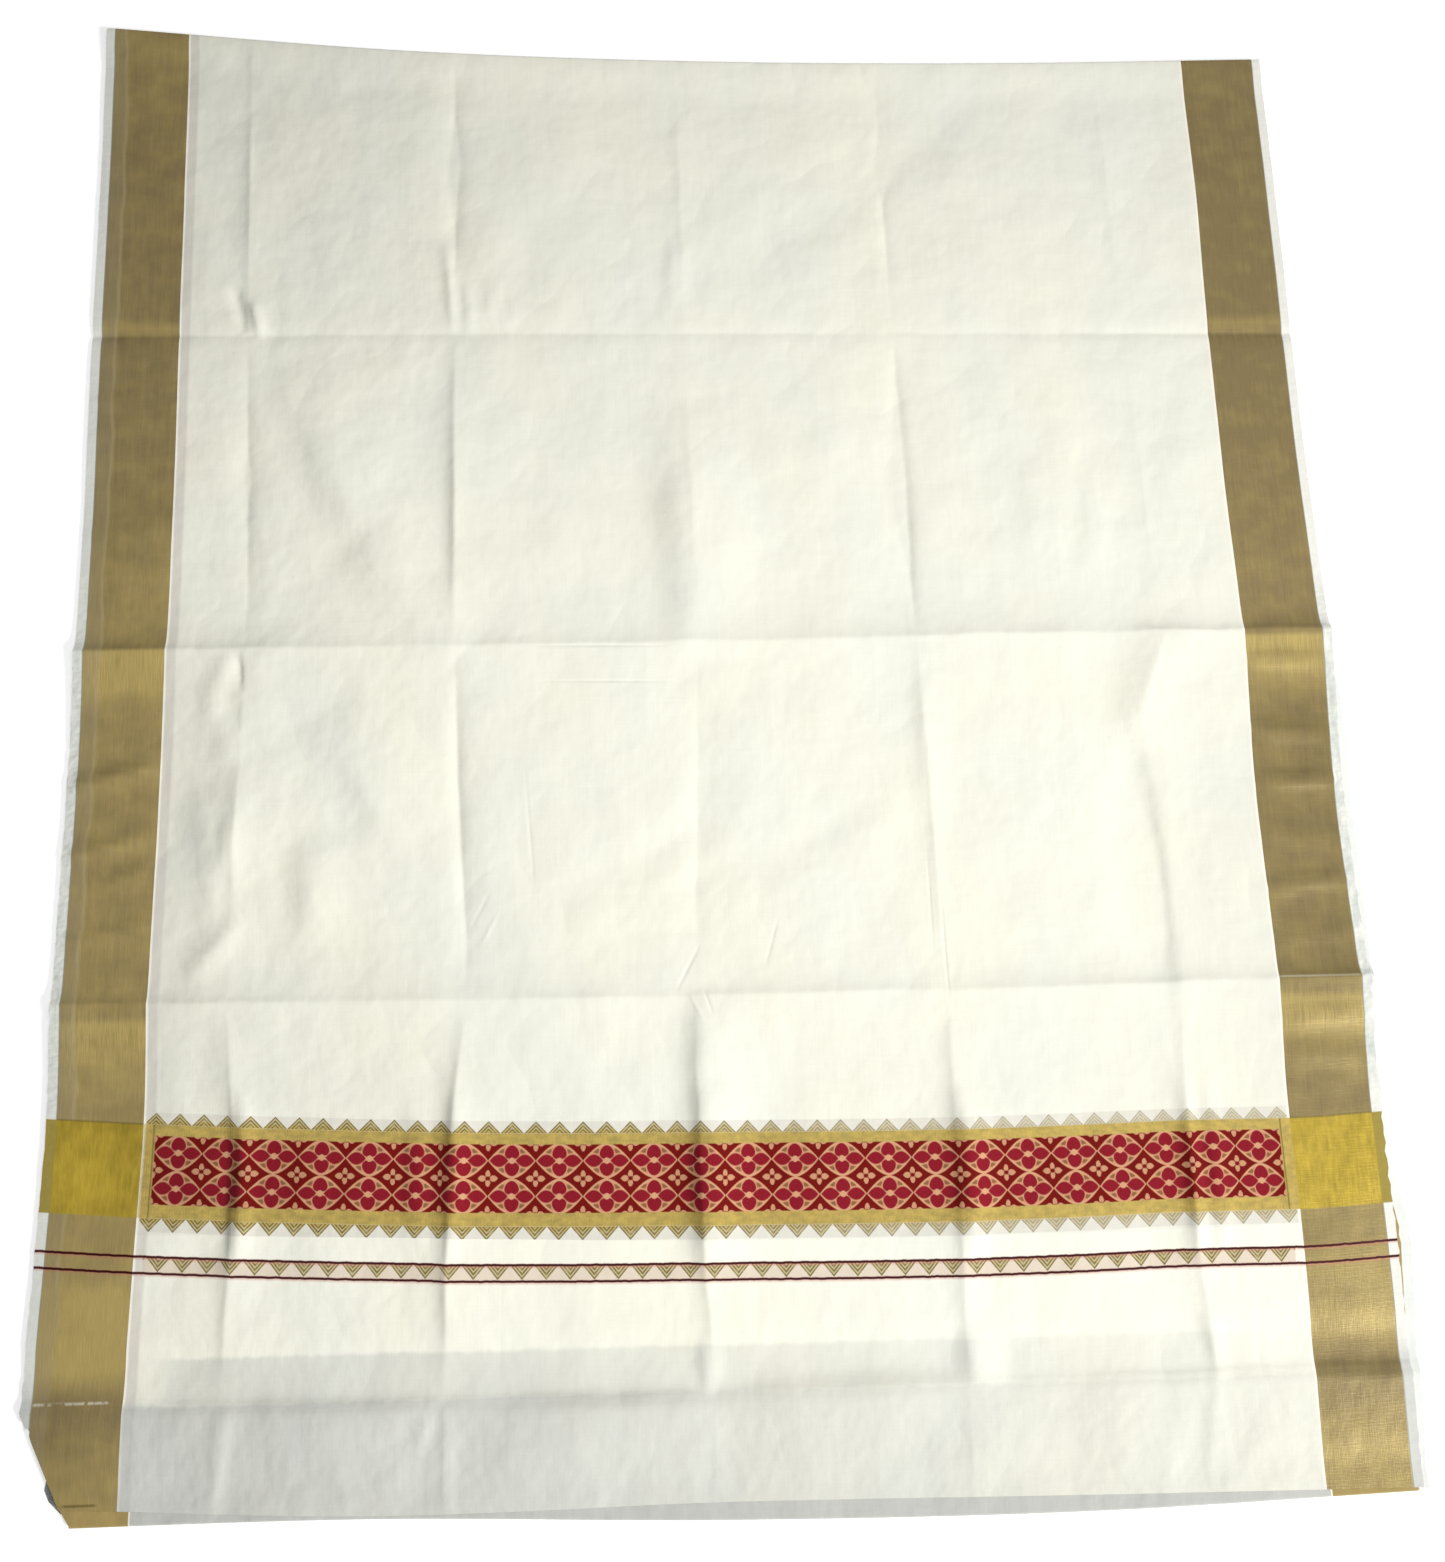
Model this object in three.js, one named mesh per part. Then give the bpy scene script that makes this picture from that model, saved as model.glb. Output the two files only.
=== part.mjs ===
// A cotton saree with gold borders, laid flat and folded into stretches that lie on each other.
// Millimetres, +Z up. The decorated end, the pallu, is towards -Y, and the far fold towards +Y.
// "x" runs across the cloth from its middle line, and "down" runs along it, away from the far
// fold. The origin is under the middle of the laid saree, on the surface it rests on.
import * as THREE from 'three';

// Driving dimensions of the cloth
const WALL = 1;
const LAYER_GAP = 0.3;
const SEAM_GAP = 0.3;
const SELVEDGE_WIDTH = 9;
const ZARI_WIDTH = 72;
const MIDDLE_DOWN = 675;

// Hidden layers: three stretches thick, and only one past the deepest fold
const DEEP_HEIGHT = 3;
const SHALLOW_HEIGHT = 1.3;
const LEAST_HEIGHT = 0.8;
const DEEP_END = 1215;
const SHALLOW_START = 1240;

// Reach of a crease's slopes to each side, and the share of its height that is left there
const CREASE_REACH = 24;
const CREASE_DECAY = 9;
const PUFF_HEIGHT = 1.6;

// Far fold, between the top stretch and the one below it
const FAR_LIFT = 3;
const FAR_LIFT_REACH = 45;
const FOLD_STEPS = 6;

// Near fold, between the second stretch and the hidden ones
const NEAR_LIFT = 2;
const NEAR_LIFT_REACH = 30;
const NEAR_TUCK = 7;

// Near left corner, turned under along a diagonal
const CUT_START_DOWN = 1259;
const CUT_START_X = -573;
const CUT_SLOPE = 0.51;
const TAB = { from: 1316, to: 1346, reach: 7 };
const CORNER_LIFT = { x: -528, down: 1312, height: 1.6, reach: 42 };

// Lines across the cloth: how far down each runs, at five places across it
const ACROSS = { left: -575, leftMid: -290, middle: 0, rightMid: 290, right: 575 };
const CROSS_LINES = {
  farFold: { left: -17, leftMid: 8, middle: 20, rightMid: 22, right: 17 },
  crease1: { left: 316, leftMid: 316, middle: 317, rightMid: 319, right: 320 },
  crease2: { left: 627, leftMid: 627, middle: 626, rightMid: 623, right: 621 },
  crease3: { left: 940, leftMid: 944, middle: 945, rightMid: 944, right: 940 },
  bandFar: { left: 1031, leftMid: 1041, middle: 1050, rightMid: 1053, right: 1051 },
  bandNear: { left: 1127, leftMid: 1137, middle: 1144, rightMid: 1145, right: 1142 },
  crease4: { left: 1259, leftMid: 1265, middle: 1266, rightMid: 1263, right: 1261 },
  topEnd: { left: 1336, leftMid: 1351, middle: 1350, rightMid: 1354, right: 1357 },
  nearFold: { left: 1353, leftMid: 1354, middle: 1364, rightMid: 1367, right: 1360 },
};

// Rise of each cross crease above the cloth around it, a valley where it is below zero
const CROSS_RISES = {
  crease1: { left: -2, leftMid: -1.2, middle: -1, rightMid: -1, right: -2 },
  crease2: { left: 8, leftMid: 4, middle: 3.5, rightMid: 4, right: 9 },
  crease3: { left: 8, leftMid: 4, middle: 3.5, rightMid: 3.5, right: 8 },
  crease4: { left: 7, leftMid: 3, middle: 2.5, rightMid: 3, right: 7 },
};

// Lines along the cloth: where its sides and its lengthwise creases lie at each section
const SECTIONS = [
  { down: 0, left: -583, fold1: -440, fold2: -240, fold3: -21, fold4: 177, fold5: 400, right: 571 },
  { down: 150, left: -579, fold1: -435, fold2: -238, fold3: -19, fold4: 180, fold5: 404, right: 573 },
  { down: 318, left: -576, fold1: -430, fold2: -236, fold3: -17, fold4: 183, fold5: 408, right: 572 },
  { down: 470, left: -572, fold1: -424, fold2: -233, fold3: -14, fold4: 186, fold5: 412, right: 572 },
  { down: 625, left: -570, fold1: -418, fold2: -231, fold3: -11, fold4: 190, fold5: 415, right: 575 },
  { down: 780, left: -568, fold1: -418, fold2: -225, fold3: -14, fold4: 195, fold5: 408, right: 571 },
  { down: 943, left: -568, fold1: -418, fold2: -217, fold3: -18, fold4: 200, fold5: 404, right: 574 },
  { down: 1040, left: -565, fold1: -410, fold2: -226, fold3: -18, fold4: 201, fold5: 401, right: 571 },
  { down: 1150, left: -567, fold1: -407, fold2: -229, fold3: -16, fold4: 201, fold5: 400, right: 572 },
  { down: 1263, left: -569, fold1: -411, fold2: -229, fold3: -10, fold4: 200, fold5: 407, right: 571 },
  { down: 1360, left: -568, fold1: -411, fold2: -229, fold3: -10, fold4: 200, fold5: 409, right: 570 },
];

// Rise of each lengthwise crease in the five panels between the cross creases
const FOLD_RISES = {
  fold1: [3, -1.5, 7, 2, 2],
  fold2: [-2, 3, -2, 4, 2],
  fold3: [1.5, 4, 1.5, 3, 2],
  fold4: [1, 5, 2, 3.5, 2],
  fold5: [1, 1.5, 5, 2, 2],
};

// How far the second stretch shows past the right side of the top one
const UNDER_PEEK = [
  { down: 0, peek: 0.5 },
  { down: 640, peek: 0.5 },
  { down: 720, peek: 6 },
  { down: 900, peek: 5 },
  { down: 945, peek: 1.5 },
  { down: 1100, peek: 4 },
  { down: 1150, peek: 12 },
  { down: 1230, peek: 9 },
  { down: 1263, peek: 7 },
  { down: 1360, peek: 4 },
];

// Edge of the hidden layers from its rim on top to the ground: depth of each lip or groove
// inside the outline, its height as a share of the edge's whole height, and how much of the
// turned corner's tab it holds
const LAYERED_EDGE = [
  { inset: 2.4, height: 0.96, tab: 0 },
  { inset: 1.6, height: 0.83, tab: 0 },
  { inset: 2.8, height: 0.67, tab: 0 },
  { inset: 1.2, height: 0.5, tab: 0 },
  { inset: 2.6, height: 0.34, tab: 0.3 },
  { inset: 1.4, height: 0.17, tab: 1 },
  { inset: 2, height: 0, tab: 1 },
];
const TOP_RIM = { inset: 3.4, tab: 0 };
const NEAR_INSET_SHARE = 0.5;

const COLOURS = {
  cotton: { color: 0xf0eddd, roughness: 0.92, metalness: 0 },
  zari: { color: 0xa8925f, roughness: 0.45, metalness: 0.6 },
  selvedge: { color: 0xf3f1e8, roughness: 0.92, metalness: 0 },
  brocade: { color: 0x9a2a3c, roughness: 0.8, metalness: 0.1 },
};

// Value of one column of a table of rows, between its rows
function tableValue(rows, key, at, column) {
  const next = rows.findIndex((row) => row[key] >= at);
  if (next === 0) return rows[0][column];
  if (next < 0) return rows[rows.length - 1][column];
  const share = (at - rows[next - 1][key]) / (rows[next][key] - rows[next - 1][key]);
  return THREE.MathUtils.lerp(rows[next - 1][column], rows[next][column], share);
}

// Value at x of a row that has a number for each place across the cloth
function acrossValue(row, x) {
  const places = Object.keys(ACROSS).map((place) => ({ x: ACROSS[place], value: row[place] }));
  return tableValue(places, 'x', x, 'value');
}

const lineDown = (name, x) => acrossValue(CROSS_LINES[name], x);
const lineX = (name, down) => tableValue(SECTIONS, 'down', down, name);
const underPeek = (down) => tableValue(UNDER_PEEK, 'down', down, 'peek');
const cutX = (down) => {
  if (down <= CUT_START_DOWN) return -Infinity;
  return CUT_START_X + CUT_SLOPE * (down - CUT_START_DOWN);
};

// Smooth hump over a cell: 0 at its ends, 1 in its middle
const hump = (share) => Math.sin(Math.PI * THREE.MathUtils.clamp(share, 0, 1));

// Panel that holds a point, and how far down the panel it lies, from 0 to 1
const PANEL_LINES = ['farFold', 'crease1', 'crease2', 'crease3', 'crease4', 'nearFold'];
function panelAt(x, down) {
  const ends = PANEL_LINES.map((name) => lineDown(name, x));
  const panel = THREE.MathUtils.clamp(ends.findIndex((end) => end > down) - 1, 0, 4);
  const last = down >= ends[5] ? 4 : panel;
  return { panel: last, share: (down - ends[last]) / (ends[last + 1] - ends[last]) };
}

// Height of the cloth's creases and puffs over the flat stack
function relief(x, down) {
  const { panel, share } = panelAt(x, down);
  const lines = ['left', ...Object.keys(FOLD_RISES), 'right'].map((name) => lineX(name, down));
  let height = 0;
  for (const [name, row] of Object.entries(CROSS_RISES)) {
    const away = Math.abs(down - lineDown(name, x));
    height += acrossValue(row, x) * Math.exp(-away / CREASE_DECAY);
  }
  Object.values(FOLD_RISES).forEach((rises, fold) => {
    const away = Math.abs(x - lines[fold + 1]);
    height += rises[panel] * hump(share) * Math.exp(-away / CREASE_DECAY);
  });
  const cell = lines.findIndex((line) => line > x);
  if (cell > 0) {
    const across = (x - lines[cell - 1]) / (lines[cell] - lines[cell - 1]);
    height += PUFF_HEIGHT * hump(across) * hump(share);
  }
  return height;
}

// Top of the hidden layers
function stackTop(x, down) {
  const shallow = THREE.MathUtils.smoothstep(down, DEEP_END, SHALLOW_START);
  const flat = THREE.MathUtils.lerp(DEEP_HEIGHT, SHALLOW_HEIGHT, shallow);
  const corner = Math.hypot(x - CORNER_LIFT.x, down - CORNER_LIFT.down) / CORNER_LIFT.reach;
  const lift = CORNER_LIFT.height * Math.exp(-corner * corner);
  return Math.max(LEAST_HEIGHT, flat + lift + relief(x, down));
}

// Bottom of the second stretch, which rises to its near fold
function underBottom(x, down) {
  const toFold = lineDown('nearFold', x) - down;
  const rise = NEAR_LIFT * (1 - THREE.MathUtils.smoothstep(toFold, 0, NEAR_LIFT_REACH));
  return stackTop(x, down) + LAYER_GAP + rise;
}

// Bottom of the top stretch, which rises to the far fold
function topBottom(x, down) {
  const fromFold = down - lineDown('farFold', x) - foldRadius() - WALL / 2;
  const rise = FAR_LIFT * (1 - THREE.MathUtils.smoothstep(fromFold, 0, FAR_LIFT_REACH));
  return underBottom(x, down) + WALL + LAYER_GAP + rise;
}

// Radius of the far fold, to the middle of the wall
function foldRadius() {
  return (FAR_LIFT + WALL + LAYER_GAP) / 2;
}

const place = (x, down, z) => new THREE.Vector3(x, MIDDLE_DOWN - down, z);

// A row across the cloth: a share of the way from one line to another, and then a step down
const row = (from, to, share = 0, step = 0) => (x) =>
  THREE.MathUtils.lerp(lineDown(from, x), lineDown(to, x), share) + step;

// Rows round a crease: its two feet and its crest
function creaseRows(name) {
  return [-CREASE_REACH, 0, CREASE_REACH].map((step) => row(name, name, 0, step));
}

// Rows of the flat cloth between the far fold and the near end, in their order
function bodyRows() {
  return [
    row('farFold', 'farFold', 0, FAR_LIFT_REACH / 2),
    row('farFold', 'farFold', 0, FAR_LIFT_REACH),
    row('farFold', 'crease1', 0.55),
    ...creaseRows('crease1'),
    row('crease1', 'crease2', 0.3),
    row('crease1', 'crease2', 0.65),
    ...creaseRows('crease2'),
    row('crease2', 'crease3', 0.3),
    row('crease2', 'crease3', 0.65),
    ...creaseRows('crease3'),
  ];
}

function bandRows() {
  return [row('bandFar', 'bandNear', 0.5)];
}

function endRows() {
  const step = CREASE_REACH / 2;
  return [
    row('bandNear', 'bandNear', 0, DEEP_END - CROSS_LINES.bandNear.middle),
    ...creaseRows('crease4').slice(0, 2),
    row('crease4', 'crease4', 0, step),
    row('crease4', 'crease4', 0, CREASE_REACH),
    row('crease4', 'topEnd', 0.6),
  ];
}

// A column along the cloth: a line and a step to its right, held clear of the turned corner
const column = (name, step = 0) => (down) => Math.max(lineX(name, down) + step, cutX(down));

const halfway = (from, to, share = 0.5) => (down) =>
  THREE.MathUtils.lerp(lineX(from, down), lineX(to, down), share);

// Columns of the plain field, between the two gold borders
function fieldColumns(gap) {
  const inner = SELVEDGE_WIDTH + ZARI_WIDTH;
  const folds = Object.keys(FOLD_RISES);
  const columns = [column('left', inner + gap)];
  folds.forEach((name, index) => {
    columns.push(column(name, -CREASE_REACH), column(name), column(name, CREASE_REACH));
    if (index + 1 < folds.length) columns.push(halfway(name, folds[index + 1]));
  });
  columns.push(column('right', -inner - gap));
  return columns;
}

// Closed wall between an outer and an inner grid of points, rows first
function closedWall(outer, inner) {
  const rows = outer.length;
  const columns = outer[0].length;
  const points = [...outer.flat(), ...inner.flat()];
  const index = [];
  const quad = (a, b, c, d) => index.push(a, b, c, a, c, d);
  const out = (r, c) => r * columns + c;
  const inn = (r, c) => rows * columns + r * columns + c;
  for (let r = 0; r + 1 < rows; r++) {
    for (let c = 0; c + 1 < columns; c++) {
      quad(out(r, c), out(r + 1, c), out(r + 1, c + 1), out(r, c + 1));
      quad(inn(r, c), inn(r, c + 1), inn(r + 1, c + 1), inn(r + 1, c));
    }
    quad(out(r, 0), inn(r, 0), inn(r + 1, 0), out(r + 1, 0));
    const last = columns - 1;
    quad(out(r, last), out(r + 1, last), inn(r + 1, last), inn(r, last));
  }
  for (let c = 0; c + 1 < columns; c++) {
    quad(out(0, c), out(0, c + 1), inn(0, c + 1), inn(0, c));
    const last = rows - 1;
    quad(out(last, c), inn(last, c), inn(last, c + 1), out(last, c + 1));
  }
  return meshGeometry(points, index);
}

function meshGeometry(points, index) {
  const geometry = new THREE.BufferGeometry().setFromPoints(points);
  geometry.setIndex(index);
  geometry.computeVertexNormals();
  return geometry;
}

function named(name, geometry, look) {
  const mesh = new THREE.Mesh(geometry, new THREE.MeshStandardMaterial(COLOURS[look]));
  mesh.name = name;
  return mesh;
}

// Points of a wall at one row, on its two faces
function flatRow(columns, rowDown, bottom) {
  const outer = [];
  const inner = [];
  for (const columnX of columns) {
    const down = rowDown(columnX(rowDown(0)));
    const x = columnX(down);
    const z = bottom(x, down);
    outer.push(place(x, down, z + WALL));
    inner.push(place(x, down, z));
  }
  return { outer, inner };
}

// Rows round a fold whose straight part starts at the height of the given bottom. side is -1
// for a fold at the far end and 1 at the near end, and low is where its underside comes to.
function foldRows(columns, line, side, bottom, low) {
  const rows = [];
  for (let step = 1; step <= FOLD_STEPS; step++) {
    const angle = (Math.PI * step) / FOLD_STEPS;
    const outer = [];
    const inner = [];
    for (const columnX of columns) {
      const edge = lineDown(line, columnX(lineDown(line, 0)));
      const x = columnX(edge);
      const start = foldStart(line, side, x, bottom, low);
      const centre = start.low + WALL / 2 + start.radius;
      const at = (radius) =>
        place(x, start.down + side * radius * Math.sin(angle), centre + radius * Math.cos(angle));
      outer.push(at(start.radius + WALL / 2));
      inner.push(at(start.radius - WALL / 2));
    }
    rows.push({ outer, inner });
  }
  return rows;
}

// Where a fold's half circle starts, so that the fold's outside just reaches its line
function foldStart(line, side, x, bottom, low) {
  const edge = lineDown(line, x);
  const under = low(x, edge);
  const radius = (bottom(x, edge) - under) / 2;
  return { down: edge - side * (radius + WALL / 2), radius, low: under };
}

// Row at the start of a fold's half circle
const foldEdgeRow = (line, side, bottom, low) => (x) => foldStart(line, side, x, bottom, low).down;

function wallFromRows(rows) {
  return closedWall(
    rows.map((entry) => entry.outer),
    rows.map((entry) => entry.inner),
  );
}

// One stretch of the top layer between two columns, from the far fold or a seam to its end
function topStretch(name, look, columns, rows, withFold) {
  const flat = rows.map((rowDown) => flatRow(columns, rowDown, topBottom));
  if (!withFold) return named(name, wallFromRows(flat), look);
  const fold = foldRows(columns, 'farFold', -1, topBottom, underBottom).reverse();
  const start = flatRow(columns, foldEdgeRow('farFold', -1, topBottom, underBottom), topBottom);
  return named(name, wallFromRows([...fold, start, ...flat]), look);
}

function bodyField() {
  const rows = [...bodyRows(), row('bandFar', 'bandFar', 0, -SEAM_GAP / 2)];
  return topStretch('body_field', 'cotton', fieldColumns(SEAM_GAP / 2), rows, true);
}

function palluBand() {
  const rows = [
    row('bandFar', 'bandFar', 0, SEAM_GAP / 2),
    ...bandRows(),
    row('bandNear', 'bandNear', 0, -SEAM_GAP / 2),
  ];
  return topStretch('pallu_band', 'brocade', fieldColumns(SEAM_GAP / 2), rows, false);
}

function palluEnd() {
  const rows = [row('bandNear', 'bandNear', 0, SEAM_GAP / 2), ...endRows(), row('topEnd', 'topEnd')];
  return topStretch('pallu_end', 'cotton', fieldColumns(SEAM_GAP / 2), rows, false);
}

// Rows of the borders and selvedges, which run unbroken from the far fold to the near end
function sideRows() {
  return [
    ...bodyRows(),
    row('bandFar', 'bandFar'),
    ...bandRows(),
    row('bandNear', 'bandNear'),
    ...endRows(),
    row('topEnd', 'topEnd'),
  ];
}

function zariBorder(side) {
  const sign = side === 'left' ? 1 : -1;
  const steps = [
    SELVEDGE_WIDTH + SEAM_GAP / 2,
    SELVEDGE_WIDTH + ZARI_WIDTH / 2,
    SELVEDGE_WIDTH + ZARI_WIDTH - SEAM_GAP / 2,
  ];
  const columns = steps.map((step) => column(side, sign * step));
  if (sign < 0) columns.reverse();
  return topStretch('zari_border_' + side, 'zari', columns, sideRows(), true);
}

// The left selvedge runs out where the turned corner's diagonal meets it
function selvedge(side) {
  const sign = side === 'left' ? 1 : -1;
  const columns = [0, SELVEDGE_WIDTH - SEAM_GAP / 2].map((step) => column(side, sign * step));
  if (sign < 0) columns.reverse();
  const rows = side === 'left' ? sideRows().slice(0, -3) : sideRows();
  return topStretch('selvedge_' + side, 'selvedge', columns, rows, true);
}

// Second stretch, one selvedge's width to the right of the top one, with its near fold
function underStretch() {
  const inner = SELVEDGE_WIDTH + ZARI_WIDTH;
  const columns = [
    column('left', SELVEDGE_WIDTH),
    column('left', SELVEDGE_WIDTH + ZARI_WIDTH / 2),
    ...fieldColumns(0),
    column('right', -inner + ZARI_WIDTH / 2),
    column('right', -SELVEDGE_WIDTH),
    column('right'),
    (down) => lineX('right', down) + underPeek(down),
  ];
  const first = (x) => foldStart('farFold', -1, x, topBottom, underBottom).down + SEAM_GAP;
  const ground = () => 0;
  const last = foldEdgeRow('nearFold', 1, underBottom, ground);
  const flat = [first, ...sideRows(), last].map((rowDown) => flatRow(columns, rowDown, underBottom));
  const fold = foldRows(columns, 'nearFold', 1, underBottom, ground);
  const tuck = tuckedRow(columns);
  return named('under_stretch', wallFromRows([...flat, ...fold, tuck]), 'cotton');
}

// End of the near fold's underside, which lies on the ground
function tuckedRow(columns) {
  const outer = [];
  const inner = [];
  for (const columnX of columns) {
    const x = columnX(lineDown('nearFold', columnX(lineDown('nearFold', 0))));
    const down = tuckDown(x);
    outer.push(place(x, down, 0));
    inner.push(place(x, down, WALL));
  }
  return { outer, inner };
}

const tuckDown = (x) => foldStart('nearFold', 1, x, underBottom, () => 0).down - NEAR_TUCK;

// Rim of the hidden layers at a given inset from their outline, as columns and end rows
function hiddenRim({ inset, tab }) {
  const tabReach = (down) => tab * TAB.reach * hump((down - TAB.from) / (TAB.to - TAB.from));
  return {
    left: (down) => Math.max(lineX('left', down), cutX(down)) + inset - tabReach(down),
    right: (down) => lineX('right', down) + underPeek(down) / 2 - inset,
    far: (x) => lineDown('farFold', x) + inset,
    near: (x) => tuckDown(x) - SEAM_GAP - inset * NEAR_INSET_SHARE,
  };
}

// Grid of plan points of the hidden layers inside a rim, rows first
function hiddenGrid(rim) {
  const columns = [
    rim.left,
    column('left', SELVEDGE_WIDTH),
    column('left', SELVEDGE_WIDTH + ZARI_WIDTH / 2),
    ...fieldColumns(0),
    column('right', -SELVEDGE_WIDTH - ZARI_WIDTH / 2),
    column('right', -SELVEDGE_WIDTH),
    rim.right,
  ];
  const rows = [rim.far, ...sideRows().slice(0, -1), rim.near];
  return rows.map((rowDown) =>
    columns.map((columnX, index) => {
      const down = rowDown(columnX(rowDown(0)));
      const least = rim.left(down) + index;
      return { x: Math.max(columnX(down), least), down };
    }),
  );
}

// Outline of a grid, once round it with the far left corner first
function outlineOf(grid) {
  const last = grid[0].length - 1;
  return [
    ...grid.slice(0, -1).map((entries) => entries[0]),
    ...grid[grid.length - 1].slice(0, -1),
    ...grid.slice(1).map((entries) => entries[last]).reverse(),
    ...grid[0].slice(1).reverse(),
  ];
}

// The stretches that don't show, in one solid with a flat underside and a layered edge
function hiddenLayers() {
  const top = hiddenGrid(hiddenRim(TOP_RIM));
  const topPoint = ({ x, down }) => place(x, down, stackTop(x, down));
  const columns = top[0].length;
  const points = top.flat().map(topPoint);
  const index = [];
  for (let r = 0; r + 1 < top.length; r++) {
    for (let c = 0; c + 1 < columns; c++) {
      const a = r * columns + c;
      index.push(a, a + columns, a + columns + 1, a, a + columns + 1, a + 1);
    }
  }
  const rimIndex = outlineOf(top.map((entries, r) => entries.map((_, c) => r * columns + c)));
  const crest = outlineOf(top).map(({ x, down }) => stackTop(x, down));
  let above = rimIndex;
  for (const ring of LAYERED_EDGE) {
    const start = points.length;
    outlineOf(hiddenGrid(hiddenRim(ring))).forEach(({ x, down }, at) => {
      points.push(place(x, down, crest[at] * ring.height));
    });
    const below = rimIndex.map((_, at) => start + at);
    below.forEach((_, at) => {
      const next = (at + 1) % below.length;
      index.push(above[at], below[at], below[next], above[at], below[next], above[next]);
    });
    above = below;
  }
  const ground = above.map((at) => new THREE.Vector2(points[at].x, points[at].y));
  for (const [a, b, c] of THREE.ShapeUtils.triangulateShape(ground, [])) {
    index.push(above[a], above[c], above[b]);
  }
  return named('hidden_layers', meshGeometry(points, index), 'cotton');
}

const saree = new THREE.Group();
saree.name = 'cotton_saree';
saree.add(
  bodyField(),
  palluBand(),
  palluEnd(),
  zariBorder('left'),
  zariBorder('right'),
  selvedge('left'),
  selvedge('right'),
  underStretch(),
  hiddenLayers(),
);

export default saree;
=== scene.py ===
"""A cotton saree with gold borders, laid flat and folded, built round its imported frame.

The tables are in millimetres and the meshes in metres. "x" runs across the cloth from its middle
line and "down" from the far fold to the near end. "u" and "v" are the same on the flat cloth. The
top stretch lies on the second one, and that lies on the hidden layers."""
import math

import bpy
import numpy as np
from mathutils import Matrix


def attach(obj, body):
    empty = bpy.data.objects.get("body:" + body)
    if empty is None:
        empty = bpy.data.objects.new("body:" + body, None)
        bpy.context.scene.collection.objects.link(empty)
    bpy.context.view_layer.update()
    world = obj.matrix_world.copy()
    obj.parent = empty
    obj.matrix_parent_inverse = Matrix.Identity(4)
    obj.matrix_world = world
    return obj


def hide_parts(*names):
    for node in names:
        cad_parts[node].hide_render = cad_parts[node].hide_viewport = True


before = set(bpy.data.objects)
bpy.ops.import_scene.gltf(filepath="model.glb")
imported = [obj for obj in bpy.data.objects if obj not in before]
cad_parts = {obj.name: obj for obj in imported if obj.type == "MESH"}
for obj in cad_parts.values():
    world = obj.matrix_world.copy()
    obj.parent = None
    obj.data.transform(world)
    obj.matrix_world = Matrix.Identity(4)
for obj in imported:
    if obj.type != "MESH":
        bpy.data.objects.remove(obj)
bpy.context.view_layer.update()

MM = 0.001

# Driving dimensions of the cloth
CLOTH_HALF = 0.22
LAYER_GAP = 0.15
LOOM_HALF = 575
SELVEDGE = 9
ZARI = 72
INNER = SELVEDGE + ZARI
FIELD_HALF = LOOM_HALF - INNER
MIDDLE_DOWN = 675
UNDER_SHIFT = 9

# Hidden layers: three stretches thick, and only one past the deepest fold
DEEP_HEIGHT = 3
SHALLOW_HEIGHT = 1.3
LEAST_HEIGHT = 0.8
DEEP_END = 1215
SHALLOW_START = 1240
HIDDEN_CLEAR = 0.5
HIDDEN_NEAR = 9.5
HIDDEN_GRID = (150, 130)

# Rise of the cloth to its two folds, and the half circles that it turns in there
FAR_START = 2
FAR_LIFT = 3
FAR_LIFT_REACH = 45
NEAR_LIFT = 2
NEAR_LIFT_REACH = 30
NEAR_TUCK = 7
FOLD_STEPS = 10

# Near left corner, turned under along a diagonal
CUT_START_DOWN = 1259
CUT_START_X = -573
CUT_SLOPE = 0.51
TAB = {"from": 1312, "to": 1348, "reach": 10}
CORNER_LIFT = {"x": -528, "down": 1312, "height": 1.6, "reach": 42}

# Lines across the cloth: how far down each runs, at five places across it
ACROSS = (-575, -290, 0, 290, 575)
CROSS_LINES = {
    "far_fold": (-17, 8, 20, 22, 17),
    "crease1": (316, 316, 317, 319, 320),
    "crease2": (627, 627, 626, 623, 621),
    "crease3": (940, 944, 945, 944, 940),
    "band_far": (1022, 1038, 1049, 1051, 1048),
    "band_near": (1127, 1138, 1148, 1150, 1146),
    "crease4": (1259, 1265, 1266, 1263, 1261),
    "top_end": (1336, 1351, 1350, 1354, 1357),
    "near_fold": (1353, 1354, 1364, 1367, 1360),
}

# Shapes of the cross creases: the line, how far below it the crest lies and how far the slope
# reaches to the near side; at the five places the rise, a valley where it is below zero, and how
# far the slope reaches to the far side
SHARP = (2.4,) * len(ACROSS)
CROSS_SHAPES = (
    ("crease1", 0, 6, (-2, -1, -0.9, -0.8, -2), (7, 10, 10, 10, 7)),
    ("crease2", 0, 50, (4.4, 4.6, 3.8, 5.2, 5), (8, 17, 16, 19, 8)),
    ("crease2", 1, 30, (0.9, 0.2, 0.3, 0.1, 0.9), SHARP),
    ("crease3", 0, 42, (4, 5, 4.6, 4, 4.4), (8, 18, 18, 14, 8)),
    ("crease3", 1, 30, (0.9, 0.2, 0.3, 0.2, 0.8), SHARP),
    ("crease4", 9, 46, (3, 2.6, 2.2, 2, 2.6), (9, 9, 10, 9, 8)),
    ("crease4", 1, 30, (1, 1.1, 1.2, 1.1, 0.8), SHARP),
)

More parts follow.
